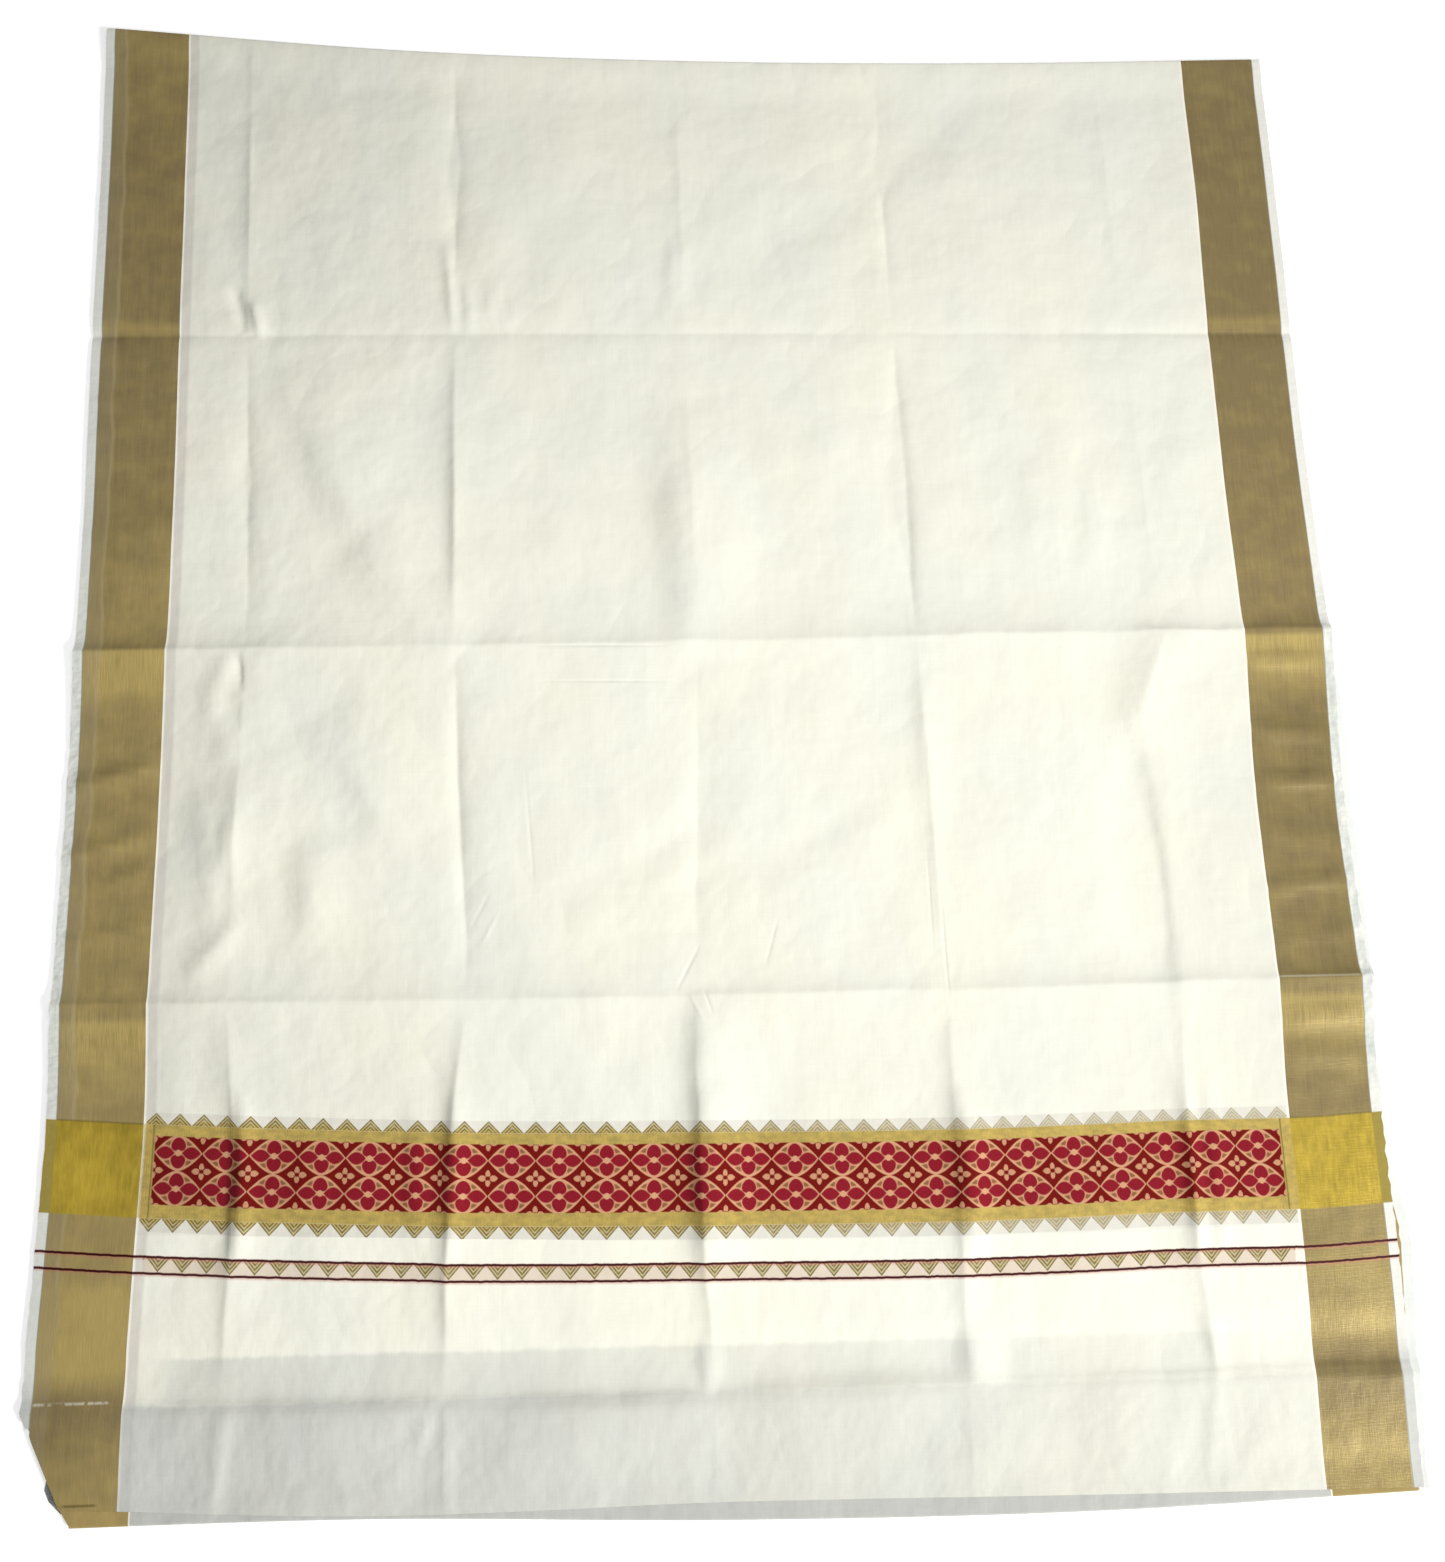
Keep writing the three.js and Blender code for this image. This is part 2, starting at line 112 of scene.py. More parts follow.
# Lines along the cloth: where its sides and its lengthwise creases lie at each section
SECTION_DOWN = (0, 150, 318, 470, 625, 780, 943, 1040, 1150, 1263, 1360)
SECTION_LINES = {
    "left": (-583, -579, -576, -572, -570, -568, -568, -565, -567, -569, -568),
    "fold1": (-440, -435, -430, -424, -418, -418, -418, -410, -407, -411, -411),
    "fold2": (-240, -238, -236, -233, -231, -225, -217, -226, -229, -229, -229),
    "fold3": (-21, -19, -17, -14, -11, -14, -18, -18, -16, -10, -10),
    "fold4": (177, 180, 183, 186, 190, 195, 200, 201, 201, 200, 200),
    "fold5": (400, 404, 408, 412, 415, 408, 404, 401, 400, 407, 409),
    "right": (571, 573, 572, 572, 575, 571, 574, 571, 572, 571, 570),
}
UNDER_PEEK_DOWN = (0, 640, 720, 900, 945, 1100, 1150, 1230, 1263, 1360)
UNDER_PEEK = (0.5, 0.5, 6, 5, 1.5, 4, 12, 9, 7, 4)

# Lengthwise creases in the five panels between the cross creases: rise, and how far the slopes
# reach to the left and to the right
FOLD_SHAPES = {
    "fold1": ((3.4, 9, 30), (-2.6, 16, 7), (8, 34, 40), (4.4, 8, 26), (1, 9, 26)),
    "fold2": ((-3.2, 12, 7), (5, 7, 40), (-2.8, 7, 6), (6.8, 9, 36), (1.2, 6, 4)),
    "fold3": ((1.6, 9, 24), (1.6, 9, 28), (-1.3, 8, 16), (4.6, 8, 26), (1.2, 9, 24)),
    "fold4": ((-1.4, 5, 7), (-4.2, 18, 4.5), (2.4, 7, 22), (4.8, 8, 28), (1, 6, 20)),
    "fold5": ((1.2, 9, 24), (1.4, 12, 24), (0.6, 8, 9), (3.4, 8, 24), (1.2, 7, 20)),
}
PUFF_HEIGHT = 1.2

# Soft creases that run slantwise down the cloth: x and down of the start and of the end, rise at
# the middle, and how far the slopes reach to the left and to the right
SOFT_FOLDS = (
    (-400, 348, -298, 566, 5, 16, 48), (-326, 530, -226, 636, 5, 22, 40),
    (-352, 694, -272, 812, 4.4, 15, 40), (-452, 650, -443, 736, 1.7, 9, 12),
    (-450, 752, -434, 892, 2.8, 13, 11), (-430, 690, -436, 742, 2.2, 8, 14),
    (-424, 778, -430, 838, 2.4, 7, 12), (-434, 632, -446, 690, 2.2, 7, 6),
    (-424, 630, -420, 668, -2.2, 5, 3), (-358, 800, -350, 896, 4.2, 12, 30),
    (-408, 868, -456, 924, 3.4, 10, 11), (-31, 390, -13, 646, 7.4, 24, 54),
    (-10, 940, -12, 1056, 5, 15, 34), (420, 620, 374, 736, 4.4, 20, 26),
    (420, 622, 376, 732, 0.8, 5, 3), (377, 706, 395, 956, -5, 34, 9),
    (193, 630, 188, 790, 1.8, 8, 20), (20, 262, 310, 56, -2.4, 26, 34),
    (-448, 264, -434, 314, -3, 5, 6), (-428, 280, -418, 320, 3, 4, 6),
    (-247, 216, -238, 314, 3.4, 5, 9), (-226, 256, -222, 320, 2.2, 5, 8),
    (-200, 256, -206, 308, 2, 5, 9), (-180, 276, -186, 312, 1.3, 4, 7),
    (-28, 210, -30, 296, 1.8, 7, 16), (-262, 1014, -256, 1164, 3.2, 4, 8),
    (-402, 1014, -400, 1160, 4.6, 5.5, 8), (-414, 1026, -412, 1156, -1.6, 8, 4),
    (-222, 1024, -226, 1160, 2.6, 5, 8), (-10, 1020, -12, 1176, 6.6, 14, 26),
    (207, 1020, 209, 1176, 4.6, 7, 16), (420, 1020, 421, 1176, 3.2, 5, 8),
    (398, 1020, 400, 1176, 3, 6, 6), (-418, 1275, -236, 1277, 2.6, 34, 10),
    (-190, 1281, 2, 1282, 3.8, 36, 13), (-6, 1269, 236, 1266, 3.2, 34, 9),
    (204, 1222, 206, 1272, 3.4, 10, 22), (-19, 1222, -15, 1270, 2.4, 6, 12),
    (403, 1216, 409, 1270, 2.6, 6, 10), (380, 1256, 352, 1364, 1, 5, 7),
    (406, 1258, 390, 1356, 1.2, 5, 7), (-240, 1276, -256, 1312, 1.6, 5, 3),
    (-226, 1270, -224, 1360, 1, 8, 4), (-404, 1258, -416, 1356, 1.8, 13, 6),
    (-120, 1286, -124, 1356, 1.4, 18, 24), (160, 764, 0, 856, -1.3, 16, 18),
    (20, 780, -150, 860, -1.2, 15, 18), (60, 800, -60, 868, -0.9, 9, 12),
    (306, 452, 300, 568, 1.8, 10, 16), (370, 442, 352, 568, 1.6, 8, 14),
    (330, 470, 322, 580, 1.2, 8, 12), (-505, 376, -574, 380, 1.6, 4, 5),
    (-500, 404, -570, 412, 1.4, 4, 5), (-500, 517, -574, 515, 1.6, 4, 5),
    (-490, 734, -574, 752, 4, 6, 8), (-496, 798, -574, 814, 3.2, 5, 7),
    (-488, 820, -540, 846, 1.6, 5, 9), (-490, 876, -570, 888, 2.4, 5, 6),
    (486, 650, 572, 654, 3, 6, 5), (484, 716, 566, 722, 3.2, 7, 5),
    (484, 768, 572, 762, 3.4, 6, 4), (486, 812, 560, 822, 1.4, 9, 7),
    (484, 862, 572, 854, 3.4, 5, 4), (484, 906, 572, 902, 1.2, 8, 6),
    (484, 976, 572, 974, 2.4, 7, 6), (486, 1006, 572, 1010, 1.6, 7, 6),
)

# Bend of a soft crease as a share of its length, and how bluntly it ends
SOFT_BEND = 0.012
SOFT_TAPER = 0.8

# Fine creases: x and down of the start and of the end, depth and half width
FINE_CREASES = (
    (-166, 628, -34, 630, 0.42, 1.3), (-156, 661, -30, 663, 0.35, 1.3),
    (55, 878, 42, 922, 0.32, 1.7), (-14, 900, -36, 942, 0.42, 1.8),
    (-195, 848, -215, 886, 0.2, 1.9), (-188, 866, -206, 902, -0.24, 2.1),
    (-167, 740, -158, 852, 0.22, 1.6), (189, 818, 190, 918, 0.3, 1.4),
    (199, 856, 201, 958, 0.4, 1.4), (-24, 944, -12, 968, -0.4, 2),
    (-12, 940, -4, 962, 0.4, 1.5),
)

# Weft bow of the band: how far a pick lies below its place at the middle left
BOW_X = (-575, -484, -382, -136, 0, 132, 200, 300, 392, 513, 572)
BOW = (-22.5, -15.5, -9.3, 1, 3.2, 5.4, 5.8, 5, 3.2, 3, 0)
BOW_FROM, BOW_TO = 945, 1040

CAMERA_PLACE = (-0.0345, -0.3379, 1.2284)
CAMERA_TURN = (11.901, -1.743, -1.369)
FOCAL_SHARE = 1400 / 1562
SENSOR = 36

KEY_PLACE, KEY_SIZE, KEY_POWER = (3.8, -2.8, 2.8), 1.5, 290
OVERHEAD_PLACE, OVERHEAD_SIZE, OVERHEAD_POWER = (0.14, 0, 1.35), 0.8, 9
OVERHEAD_AIM = (0.14, 0.01, 0)
FILL = 0.14
FLOOR_HALF = 6
FLOOR_CLEAR = 0.0002


def between(places, values, at):
    """Value of a table on a smooth curve through its rows."""
    places = np.asarray(places, float)
    values = np.asarray(values, float)
    slope = np.gradient(values, places)
    at = np.clip(at, places[0], places[-1])
    cell = np.clip(np.searchsorted(places, at) - 1, 0, len(places) - 2)
    width = places[cell + 1] - places[cell]
    t = (at - places[cell]) / width
    rise = values[cell + 1] - values[cell]
    bend_a = slope[cell] * width - rise
    bend_b = rise - slope[cell + 1] * width
    return values[cell] + t * rise + t * (1 - t) * ((1 - t) * bend_a + t * bend_b)


def smoothstep(x, low, high):
    t = np.clip((x - low) / (high - low), 0, 1)
    return t * t * (3 - 2 * t)


def hump(share):
    """1 in the middle of a cell, and 0 from its ends on."""
    return np.sin(np.pi * np.clip(share, 0, 1))


def line_down(name, x):
    return between(ACROSS, CROSS_LINES[name], x)


def line_x(name, down):
    return between(SECTION_DOWN, SECTION_LINES[name], down)


def under_peek(down):
    return np.interp(down, UNDER_PEEK_DOWN, UNDER_PEEK)


def cut_x(down):
    """Where the turned corner's diagonal lies, or far outside the cloth above it."""
    return np.where(down > CUT_START_DOWN, CUT_START_X + CUT_SLOPE * (down - CUT_START_DOWN), -1e4)


def noise(x, y, size, seed):
    """Smooth noise from -1 to 1, as a sum of plane waves about size long."""
    draw = np.random.default_rng(seed)
    total = np.zeros(np.broadcast(x, y).shape)
    waves = 9
    for _ in range(waves):
        angle = draw.uniform(0, 2 * math.pi)
        wave = 2 * math.pi / (size * draw.uniform(0.7, 1.5))
        phase = draw.uniform(0, 2 * math.pi)
        total += np.sin(wave * (x * math.cos(angle) + y * math.sin(angle)) + phase)
    return total / math.sqrt(2 * waves)


PANEL_LINES = ("far_fold", "crease1", "crease2", "crease3", "crease4", "near_fold")


def panel_shares(x, down):
    """How far down each of the five panels a point lies: 0 at its far end and 1 at its near one."""
    ends = [line_down(name, x) for name in PANEL_LINES]
    return [(down - far) / (near - far) for far, near in zip(ends, ends[1:])]


def cusp(away, reach):
    """Sides of a pressed crease: steep next to its line, and flat further off."""
    return np.exp(-(np.sqrt(away * away + 0.8) - 0.9) / reach)


def unevenness(along, seed):
    """Strength of a crease along its line, and how far the line strays to a side."""
    strength = 1 + 0.3 * np.clip(noise(along, 0, 130, seed), -1.6, 0.5)
    return strength, 0.7 * noise(along, 0, 70, seed + 1)


def lengthwise_relief(x, down, shares):
    height = np.zeros_like(x)
    for seed, (name, shapes) in enumerate(FOLD_SHAPES.items()):
        strength, stray = unevenness(down, 60 + 2 * seed)
        away = x - line_x(name, down) - stray
        for share, (rise, left, right) in zip(shares, shapes):
            height += rise * strength * hump(share) * cusp(away, np.where(away < 0, left, right))
    return height


def cross_relief(x, down):
    height = np.zeros_like(x)
    for line, below, near, rises, far in CROSS_SHAPES:
        strength, stray = unevenness(x, 80 + ord(line[-1]))
        away = down - line_down(line, x) - below - stray
        reach = np.where(away < 0, between(ACROSS, far, x), near)
        height += between(ACROSS, rises, x) * strength * cusp(away, reach)
    return height


def beside(x, down, from_x, from_down, to_x, to_down):
    """Share of the way along a crease, distance from it to the right, and its length."""
    run_x, run_down = to_x - from_x, to_down - from_down
    length = math.hypot(run_x, run_down)
    off_x, off_down = x - from_x, down - from_down
    along = (off_x * run_x + off_down * run_down) / length**2
    return along, (off_x * run_down - off_down * run_x) / length, length


def soft_relief(x, down):
    height = np.zeros_like(x)
    for *ends, rise, left, right in SOFT_FOLDS:
        along, away, length = beside(x, down, *ends)
        away = away - SOFT_BEND * length * np.sin(np.pi * along)
        off = away / np.where(away < 0, left, right)
        height += rise * hump(along) ** SOFT_TAPER * np.exp(-off * off)
    return height


def puff_relief(x, down, shares):
    inside = sum(hump(share) for share in shares)
    lines = [line_x(name, down) for name in SECTION_LINES]
    height = np.zeros_like(x)
    for left, right in zip(lines, lines[1:]):
        height += PUFF_HEIGHT * hump((x - left) / (right - left)) * inside
    height += inside * (0.6 * noise(x, down, 130, 3) + 0.22 * noise(x, down, 48, 4))
    return height


def relief(x, down):
    """Height of the cloth's creases and puffs over the flat stack."""
    shares = panel_shares(x, down)
    height = cross_relief(x, down) + lengthwise_relief(x, down, shares)
    return height + puff_relief(x, down, shares) + soft_relief(x, down)


def stack_top(x, down):
    """Top of the hidden layers."""
    flat = DEEP_HEIGHT + (SHALLOW_HEIGHT - DEEP_HEIGHT) * smoothstep(down, DEEP_END, SHALLOW_START)
    corner = np.hypot(x - CORNER_LIFT["x"], down - CORNER_LIFT["down"]) / CORNER_LIFT["reach"]
    lift = CORNER_LIFT["height"] * np.exp(-corner * corner)
    return np.maximum(LEAST_HEIGHT, flat + lift + relief(x, down))


def under_middle(x, down):
    """Middle of the second stretch, which rises to its near fold."""
    rise = NEAR_LIFT * (1 - smoothstep(line_down("near_fold", x) - down, 0, NEAR_LIFT_REACH))
    return stack_top(x, down) + LAYER_GAP + CLOTH_HALF + rise


def top_middle(x, down):
    """Middle of the top stretch, which rises to the far fold."""
    from_fold = down - line_down("far_fold", x) - FAR_START
    rise = FAR_LIFT * (1 - smoothstep(from_fold, 0, FAR_LIFT_REACH))
    return under_middle(x, down) + LAYER_GAP + 2 * CLOTH_HALF + rise


def graded(length, fine_ends, fine=1.5, coarse=7, growth=0.2):
    """Shares along a stretch, closely spaced at the ends that are creases."""
    at = np.linspace(0, length, 2001)
    near = np.full_like(at, 1e9)
    if fine_ends[0]:
        near = np.minimum(near, at)
    if fine_ends[1]:
        near = np.minimum(near, length - at)
    density = 1 / np.clip(fine + growth * near, fine, coarse)
    count = np.concatenate([[0], np.cumsum((density[1:] + density[:-1]) / 2 * np.diff(at))])
    total = max(1, round(count[-1]))
    return np.interp(np.arange(total + 1) / total * count[-1], count, at) / length


def stations(anchors):
    """(anchor before, share of the way to the next) along a list of (name, place, fine)."""
    found = []
    for cell, (a, b) in enumerate(zip(anchors, anchors[1:])):
        shares = graded(b[1] - a[1], (a[2], b[2]))
        found += [(cell, share) for share in shares[:-1]]
    return found + [(len(anchors) - 2, 1.0)]


def first_station(anchors, found, name):
    """Index of the station that lies on an anchor."""
    at = [anchor[0] for anchor in anchors].index(name)
    if at == len(anchors) - 1:
        return len(found) - 1
    return found.index((at, 0.0))


ROW_ANCHORS = (
    ("far_fold", 22, True), ("crease1", 317, True), ("crease2", 626, True),
    ("crease3", 945, True), ("band_far", 1048, False), ("band_near", 1143, False),
    ("crease4", 1265, True), ("cut_end", 1283, False), ("top_end", 1351, False),
    ("near_fold", 1364, True),
)
COLUMN_ANCHORS = (
    ("left", -575, False), ("left_zari", -566, False), ("left_field", -494, False),
    ("fold1", -410, True), ("fold2", -229, True), ("fold3", -17, True), ("fold4", 201, True),
    ("fold5", 401, True), ("right_field", 491, False), ("right_zari", 563, False),
    ("right", 572, False),
)
COLUMNS = stations(COLUMN_ANCHORS)


def anchor_down(name, x):
    if name == "cut_end":
        return line_down("crease4", x) + 18
    return line_down(name, x)


def edge_wave(down, seed):
    """Waviness of a selvedge, stronger past the second crease."""
    return noise(down, 0, 15, seed) * (0.25 + 0.65 * smoothstep(down, 600, 680))


# How far inside the cloth's side the lines beside it lie, and the second stretch's from the cut
SIDE_STEPS = {
    "left": 0, "left_zari": SELVEDGE, "left_field": INNER,
    "right": 0, "right_zari": SELVEDGE, "right_field": INNER,
}
CORNER_CLEAR = {"left": 0.6, "left_zari": 0.65, "left_field": 1.6}


def top_x(name, down):
    """Where a lengthwise line of the top stretch lies, held clear of the turned corner."""
    if name == "left":
        return np.maximum(line_x("left", down) + edge_wave(down, 51) * 0.6, cut_x(down))
    if name == "left_zari":
        return np.maximum(line_x("left", down) + SELVEDGE, cut_x(down) + 0.05)
    if name == "left_field":
        return line_x("left", down) + INNER
    if name == "right":
        return line_x("right", down) + edge_wave(down, 52)
    if name in SIDE_STEPS:
        return line_x("right", down) - SIDE_STEPS[name]
    return line_x(name, down)


def under_x(name, down):
    """The same for the second stretch, which lies further to the right."""
    if name in CORNER_CLEAR:
        edge = line_x("left", down) + UNDER_SHIFT
        return np.maximum(edge + SIDE_STEPS[name], cut_x(down) + CORNER_CLEAR[name])
    if name in SIDE_STEPS:
        edge = line_x("right", down) + under_peek(down)
        return edge - SIDE_STEPS[name] + edge_wave(down, 53)
    return line_x(name, down)


NOMINAL_DOWN = 700.0


def plan(rows, column_lines):
    """x, down of a grid of stations, with both as arrays of rows by columns."""
    def down_at(station, x):
        cell, share = station
        far, near = (anchor_down(ROW_ANCHORS[cell + i][0], x) for i in (0, 1))
        return far + share * (near - far)

    def x_at(station, down):
        cell, share = station
        left, right = (column_lines(COLUMN_ANCHORS[cell + i][0], down) for i in (0, 1))
        return left + share * (right - left)

    nominal = np.array([x_at(column, np.array(NOMINAL_DOWN)) for column in COLUMNS])
    down = np.array([down_at(row, nominal) for row in rows])
    x = np.array([x_at(column, down[:, i]) for i, column in enumerate(COLUMNS)]).T
    down = np.array([down_at(row, x[i]) for i, row in enumerate(rows)])
    return x, down


def cloth_u(x, down, column_lines):
    """Distance across the flat cloth from its middle, the same all along a warp thread."""
    left = column_lines("left_field", down)
    right = column_lines("right_field", down)
    inside = -FIELD_HALF + 2 * FIELD_HALF * (x - left) / (right - left)
    outside = np.where(x < left, x - left - FIELD_HALF, x - right + FIELD_HALF)
    return np.where((x < left) | (x > right), outside, inside)


def cloth_v(x, down):
    """Distance down the flat cloth, the same all along a weft pick."""
    share = smoothstep(down, BOW_FROM, BOW_TO)
    return down - share * between(BOW_X, BOW, x)


def points(x, down, z):
    return np.stack([x, MIDDLE_DOWN - down, z], -1)


def turn_rows(edge_points, side, top_z, low_z):
    """Rows of a half circle from the top level, where it starts, to the low one."""
    radius = (top_z - low_z) / 2
    found = []
    for step in range(1, FOLD_STEPS + 1):
        angle = math.pi * step / FOLD_STEPS
        row = edge_points.copy()
        row[:, 1] -= side * radius * math.sin(angle)
        row[:, 2] = (top_z + low_z) / 2 + radius * math.cos(angle)
        found.append(row)
    return found


def run(rows):
    """Distance of each row after the first from the first."""
    return np.cumsum(np.linalg.norm(np.diff(np.array(rows), axis=0), axis=-1), axis=0)


class Surface:
    """Middle surface of a stretch: its points, normals and cloth coordinates, rows by columns."""

    def __init__(self, at, u, v):
        self.at, self.u, self.v = at, u, v
        along = np.gradient(at, axis=0)
        across = np.gradient(at, axis=1)
        normal = np.cross(across, -along)
        size = np.linalg.norm(normal, axis=-1, keepdims=True)
        self.normal = normal / np.maximum(size, 1e-9)


def top_surface():
    rows = stations(ROW_ANCHORS[:-1])
    x, down = plan(rows, top_x)
    fold = line_down("far_fold", x[0])
    top_z = top_middle(x[0], fold)
    low_z = under_middle(x[0], fold)
    radius = (top_z - low_z) / 2
    down[0] = fold + radius + CLOTH_HALF
    keep = [0] + [i for i in range(1, len(rows)) if np.all(down[i] > down[0] + 0.5)]
    rows = [rows[i] for i in keep]
    x, down = x[keep], down[keep]
    flat = points(x, down, top_middle(x, down))
    flat[0, :, 2] = top_z
    curl = turn_rows(flat[0], -1, top_z, low_z)[::-1]
    at = np.concatenate([np.array(curl), flat])
    back = run([flat[0], *curl[::-1]])[::-1]
    v = cloth_v(x, down)
    u = cloth_u(x, down, top_x)
    surface = Surface(at, np.concatenate([np.repeat(u[:1], len(curl), 0), u]),
                      np.concatenate([v[:1] - back, v]))
    surface.first_row = {
        name: first_station(ROW_ANCHORS[:-1], rows, name) + len(curl)
        for name, *_ in ROW_ANCHORS[1:-1]
    }
    surface.first_column = {
        name: first_station(COLUMN_ANCHORS, COLUMNS, name)
        for name, *_ in COLUMN_ANCHORS
    }
    return surface


def under_surface():
    rows = stations(ROW_ANCHORS)
    x, down = plan(rows, under_x)
    fold = line_down("far_fold", x[0])
    start = fold + CLOTH_HALF + (top_middle(x[0], fold) - under_middle(x[0], fold)) / 2 + 0.1
    end = line_down("near_fold", x[-1])
    end_z = under_middle(x[-1], end)
    radius = (end_z - CLOTH_HALF) / 2
    down[0] = start
    down[-1] = end - radius - CLOTH_HALF
    inside = [np.all(down[i] > down[0] + 0.5) and np.all(down[i] < down[-1] - 0.5)
              for i in range(1, len(rows) - 1)]
    keep = [0, *(i + 1 for i, good in enumerate(inside) if good), len(rows) - 1]
    x, down = x[keep], down[keep]
    flat = points(x, down, under_middle(x, down))
    flat[-1, :, 2] = end_z
    curl = turn_rows(flat[-1], 1, end_z, np.full_like(end_z, CLOTH_HALF))
    tuck = curl[-1].copy()
    tuck[:, 1] += NEAR_TUCK
    at = np.concatenate([flat, np.array([*curl, tuck])])
    more = len(curl) + 1
    u = cloth_u(x, down, under_x)
    v = cloth_v(x, down)
    return Surface(at, np.concatenate([u, np.repeat(u[-1:], more, 0)]),
                   np.concatenate([v, v[-1:] + run([flat[-1], *curl, tuck])]))


def new_object(name, data):
    thing = bpy.data.objects.new(name, data)
    bpy.context.scene.collection.objects.link(thing)
    return thing


def set_inputs(node, values):
    for name, value in values.items():
        node.inputs[name].default_value = value


def new_mesh(name, places, faces, u, v, normals=None):
    """Smooth mesh with its cloth coordinates as a UV map."""
    mesh = bpy.data.meshes.new(name)
    mesh.from_pydata((np.asarray(places) * MM).tolist(), [], faces)
    mesh.update()
    layer = mesh.uv_layers.new(name="cloth")
    index = np.empty(len(mesh.loops), np.int32)
    mesh.loops.foreach_get("vertex_index", index)
    layer.data.foreach_set("uv", (np.stack([u, v], -1)[index] * MM).astype(np.float32).ravel())
    mesh.polygons.foreach_set("use_smooth", [True] * len(mesh.polygons))
    if normals is not None:
        mesh.normals_split_custom_set_from_vertices(normals.tolist())
    return new_object(name, mesh)


def grid_faces(rows, columns, start=0, turned=False):
    r, c = np.meshgrid(np.arange(rows - 1), np.arange(columns - 1), indexing="ij")
    a = (start + r * columns + c).ravel()
    quads = np.stack([a, a + columns, a + columns + 1, a + 1], -1)
    return quads[:, ::-1] if turned else quads


def grid_edge(rows, columns):
    """Indices once round a grid."""
    index = np.arange(rows * columns).reshape(rows, columns)
    return np.concatenate([index[:-1, 0], index[-1, :-1], index[:0:-1, -1], index[0, :0:-1]])


def stand_for(piece, node, material):
    """Puts a piece in the place of a solid of the CAD model."""
    piece.data.materials.append(material)
    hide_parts(node)
    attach(piece, "root")


def cloth_piece(name, surface, rows, columns, node, material):
    """Closed thin shell on a part of a surface, put in the place of a solid of the CAD model."""
    part = (slice(*rows), slice(*columns))
    at = surface.at[part]
    normal = surface.normal[part]
    shape = at.shape[:2]
    middle = at.reshape(-1, 3)
    out = normal.reshape(-1, 3)
    places = np.concatenate([middle + out * CLOTH_HALF, middle - out * CLOTH_HALF])
    count = len(middle)
    edge = grid_edge(*shape)
    after = np.roll(edge, -1)
    rim = np.stack([edge, edge + count, after + count, after], -1)
    faces = np.concatenate([grid_faces(*shape), grid_faces(*shape, count, True), rim])
    u = np.tile(surface.u[part].ravel(), 2)
    v = np.tile(surface.v[part].ravel(), 2)
    piece = new_mesh(name, places, faces.tolist(), u, v, np.concatenate([out, -out]))
    stand_for(piece, node, material)


# Edge of the hidden layers from its rim on top to the ground: how far each lip or groove lies
# inside the outline, its height as a share of the whole, and its share of the corner's tab
RIM = (
    (3.4, 1.0, 0), (2.4, 0.97, 0),
    (1.5, 0.9, 0), (1.6, 0.8, 0),
    (3.0, 0.72, 0), (3.1, 0.68, 0),
    (1.3, 0.6, 0), (1.1, 0.5, 0),
    (2.8, 0.4, 0.3), (2.8, 0.34, 0.3),
    (1.6, 0.24, 1), (1.4, 0.12, 1),
    (2.0, 0, 1),
)


def hidden_plan(layer):
    """x, down of a coarse grid inside one ring of the hidden layers' edge."""
    inset, _, tab_share = RIM[layer]
    rows, columns = (np.linspace(0, 1, count) for count in HIDDEN_GRID)
    x = np.zeros(HIDDEN_GRID)
    for _ in range(3):
        far = line_down("far_fold", x) + inset
        near = line_down("near_fold", x) - HIDDEN_NEAR - inset * 0.5
        down = far + rows[:, None] * (near - far)
        tab = TAB["reach"] * tab_share * hump((down - TAB["from"]) / (TAB["to"] - TAB["from"]))
        ragged = 0.5 * noise(down, 0, 90, 20 + layer)
        left = np.maximum(line_x("left", down), cut_x(down)) + inset + ragged - tab
        right = line_x("right", down) + under_peek(down) / 2 - inset + ragged
        x = left + columns * (right - left)
    return x, down


def hidden_layers(material):
    """Solid with a grid on top and below, and a ring of points for each lip and groove between."""
    places, u, v = [], [], []

    def add(x, down, z):
        start = sum(map(len, places))
        places.append(points(x, down, z).reshape(-1, 3))
        u.append(cloth_u(x, down, top_x).ravel())
        v.append(cloth_v(x, down).ravel())
        return start

    x, down = hidden_plan(0)
    top_z = stack_top(x, down) - HIDDEN_CLEAR
    add(x, down, top_z)
    faces = [grid_faces(*HIDDEN_GRID)]
    edge = grid_edge(*HIDDEN_GRID)
    crest = top_z.reshape(-1)[edge]
    above = edge
    last = len(RIM) - 1
    for layer in range(1, last + 1):
        x, down = hidden_plan(layer)
        if layer < last:
            ring_x, ring_down = (part.reshape(-1)[edge] for part in (x, down))
            start = add(ring_x, ring_down, crest * RIM[layer][1])
            below = start + np.arange(len(edge))
        else:
            start = add(x, down, np.zeros_like(x))
            below = start + edge
        faces.append(np.stack([above, below, np.roll(below, -1), np.roll(above, -1)], -1))
        above = below
    faces.append(grid_faces(*HIDDEN_GRID, start, True))
    piece = new_mesh("layers_below", np.concatenate(places), np.concatenate(faces).tolist(),
                     np.concatenate(u), np.concatenate(v))
    stand_for(piece, "hidden_layers", material)


def linear(red, green, blue):
    """Linear colour of an sRGB one, whose parts run from 0 to 255."""
    parts = [part / 255 for part in (red, green, blue)]
    return [p / 12.92 if p <= 0.04045 else ((p + 0.055) / 1.055) ** 2.4 for p in parts]


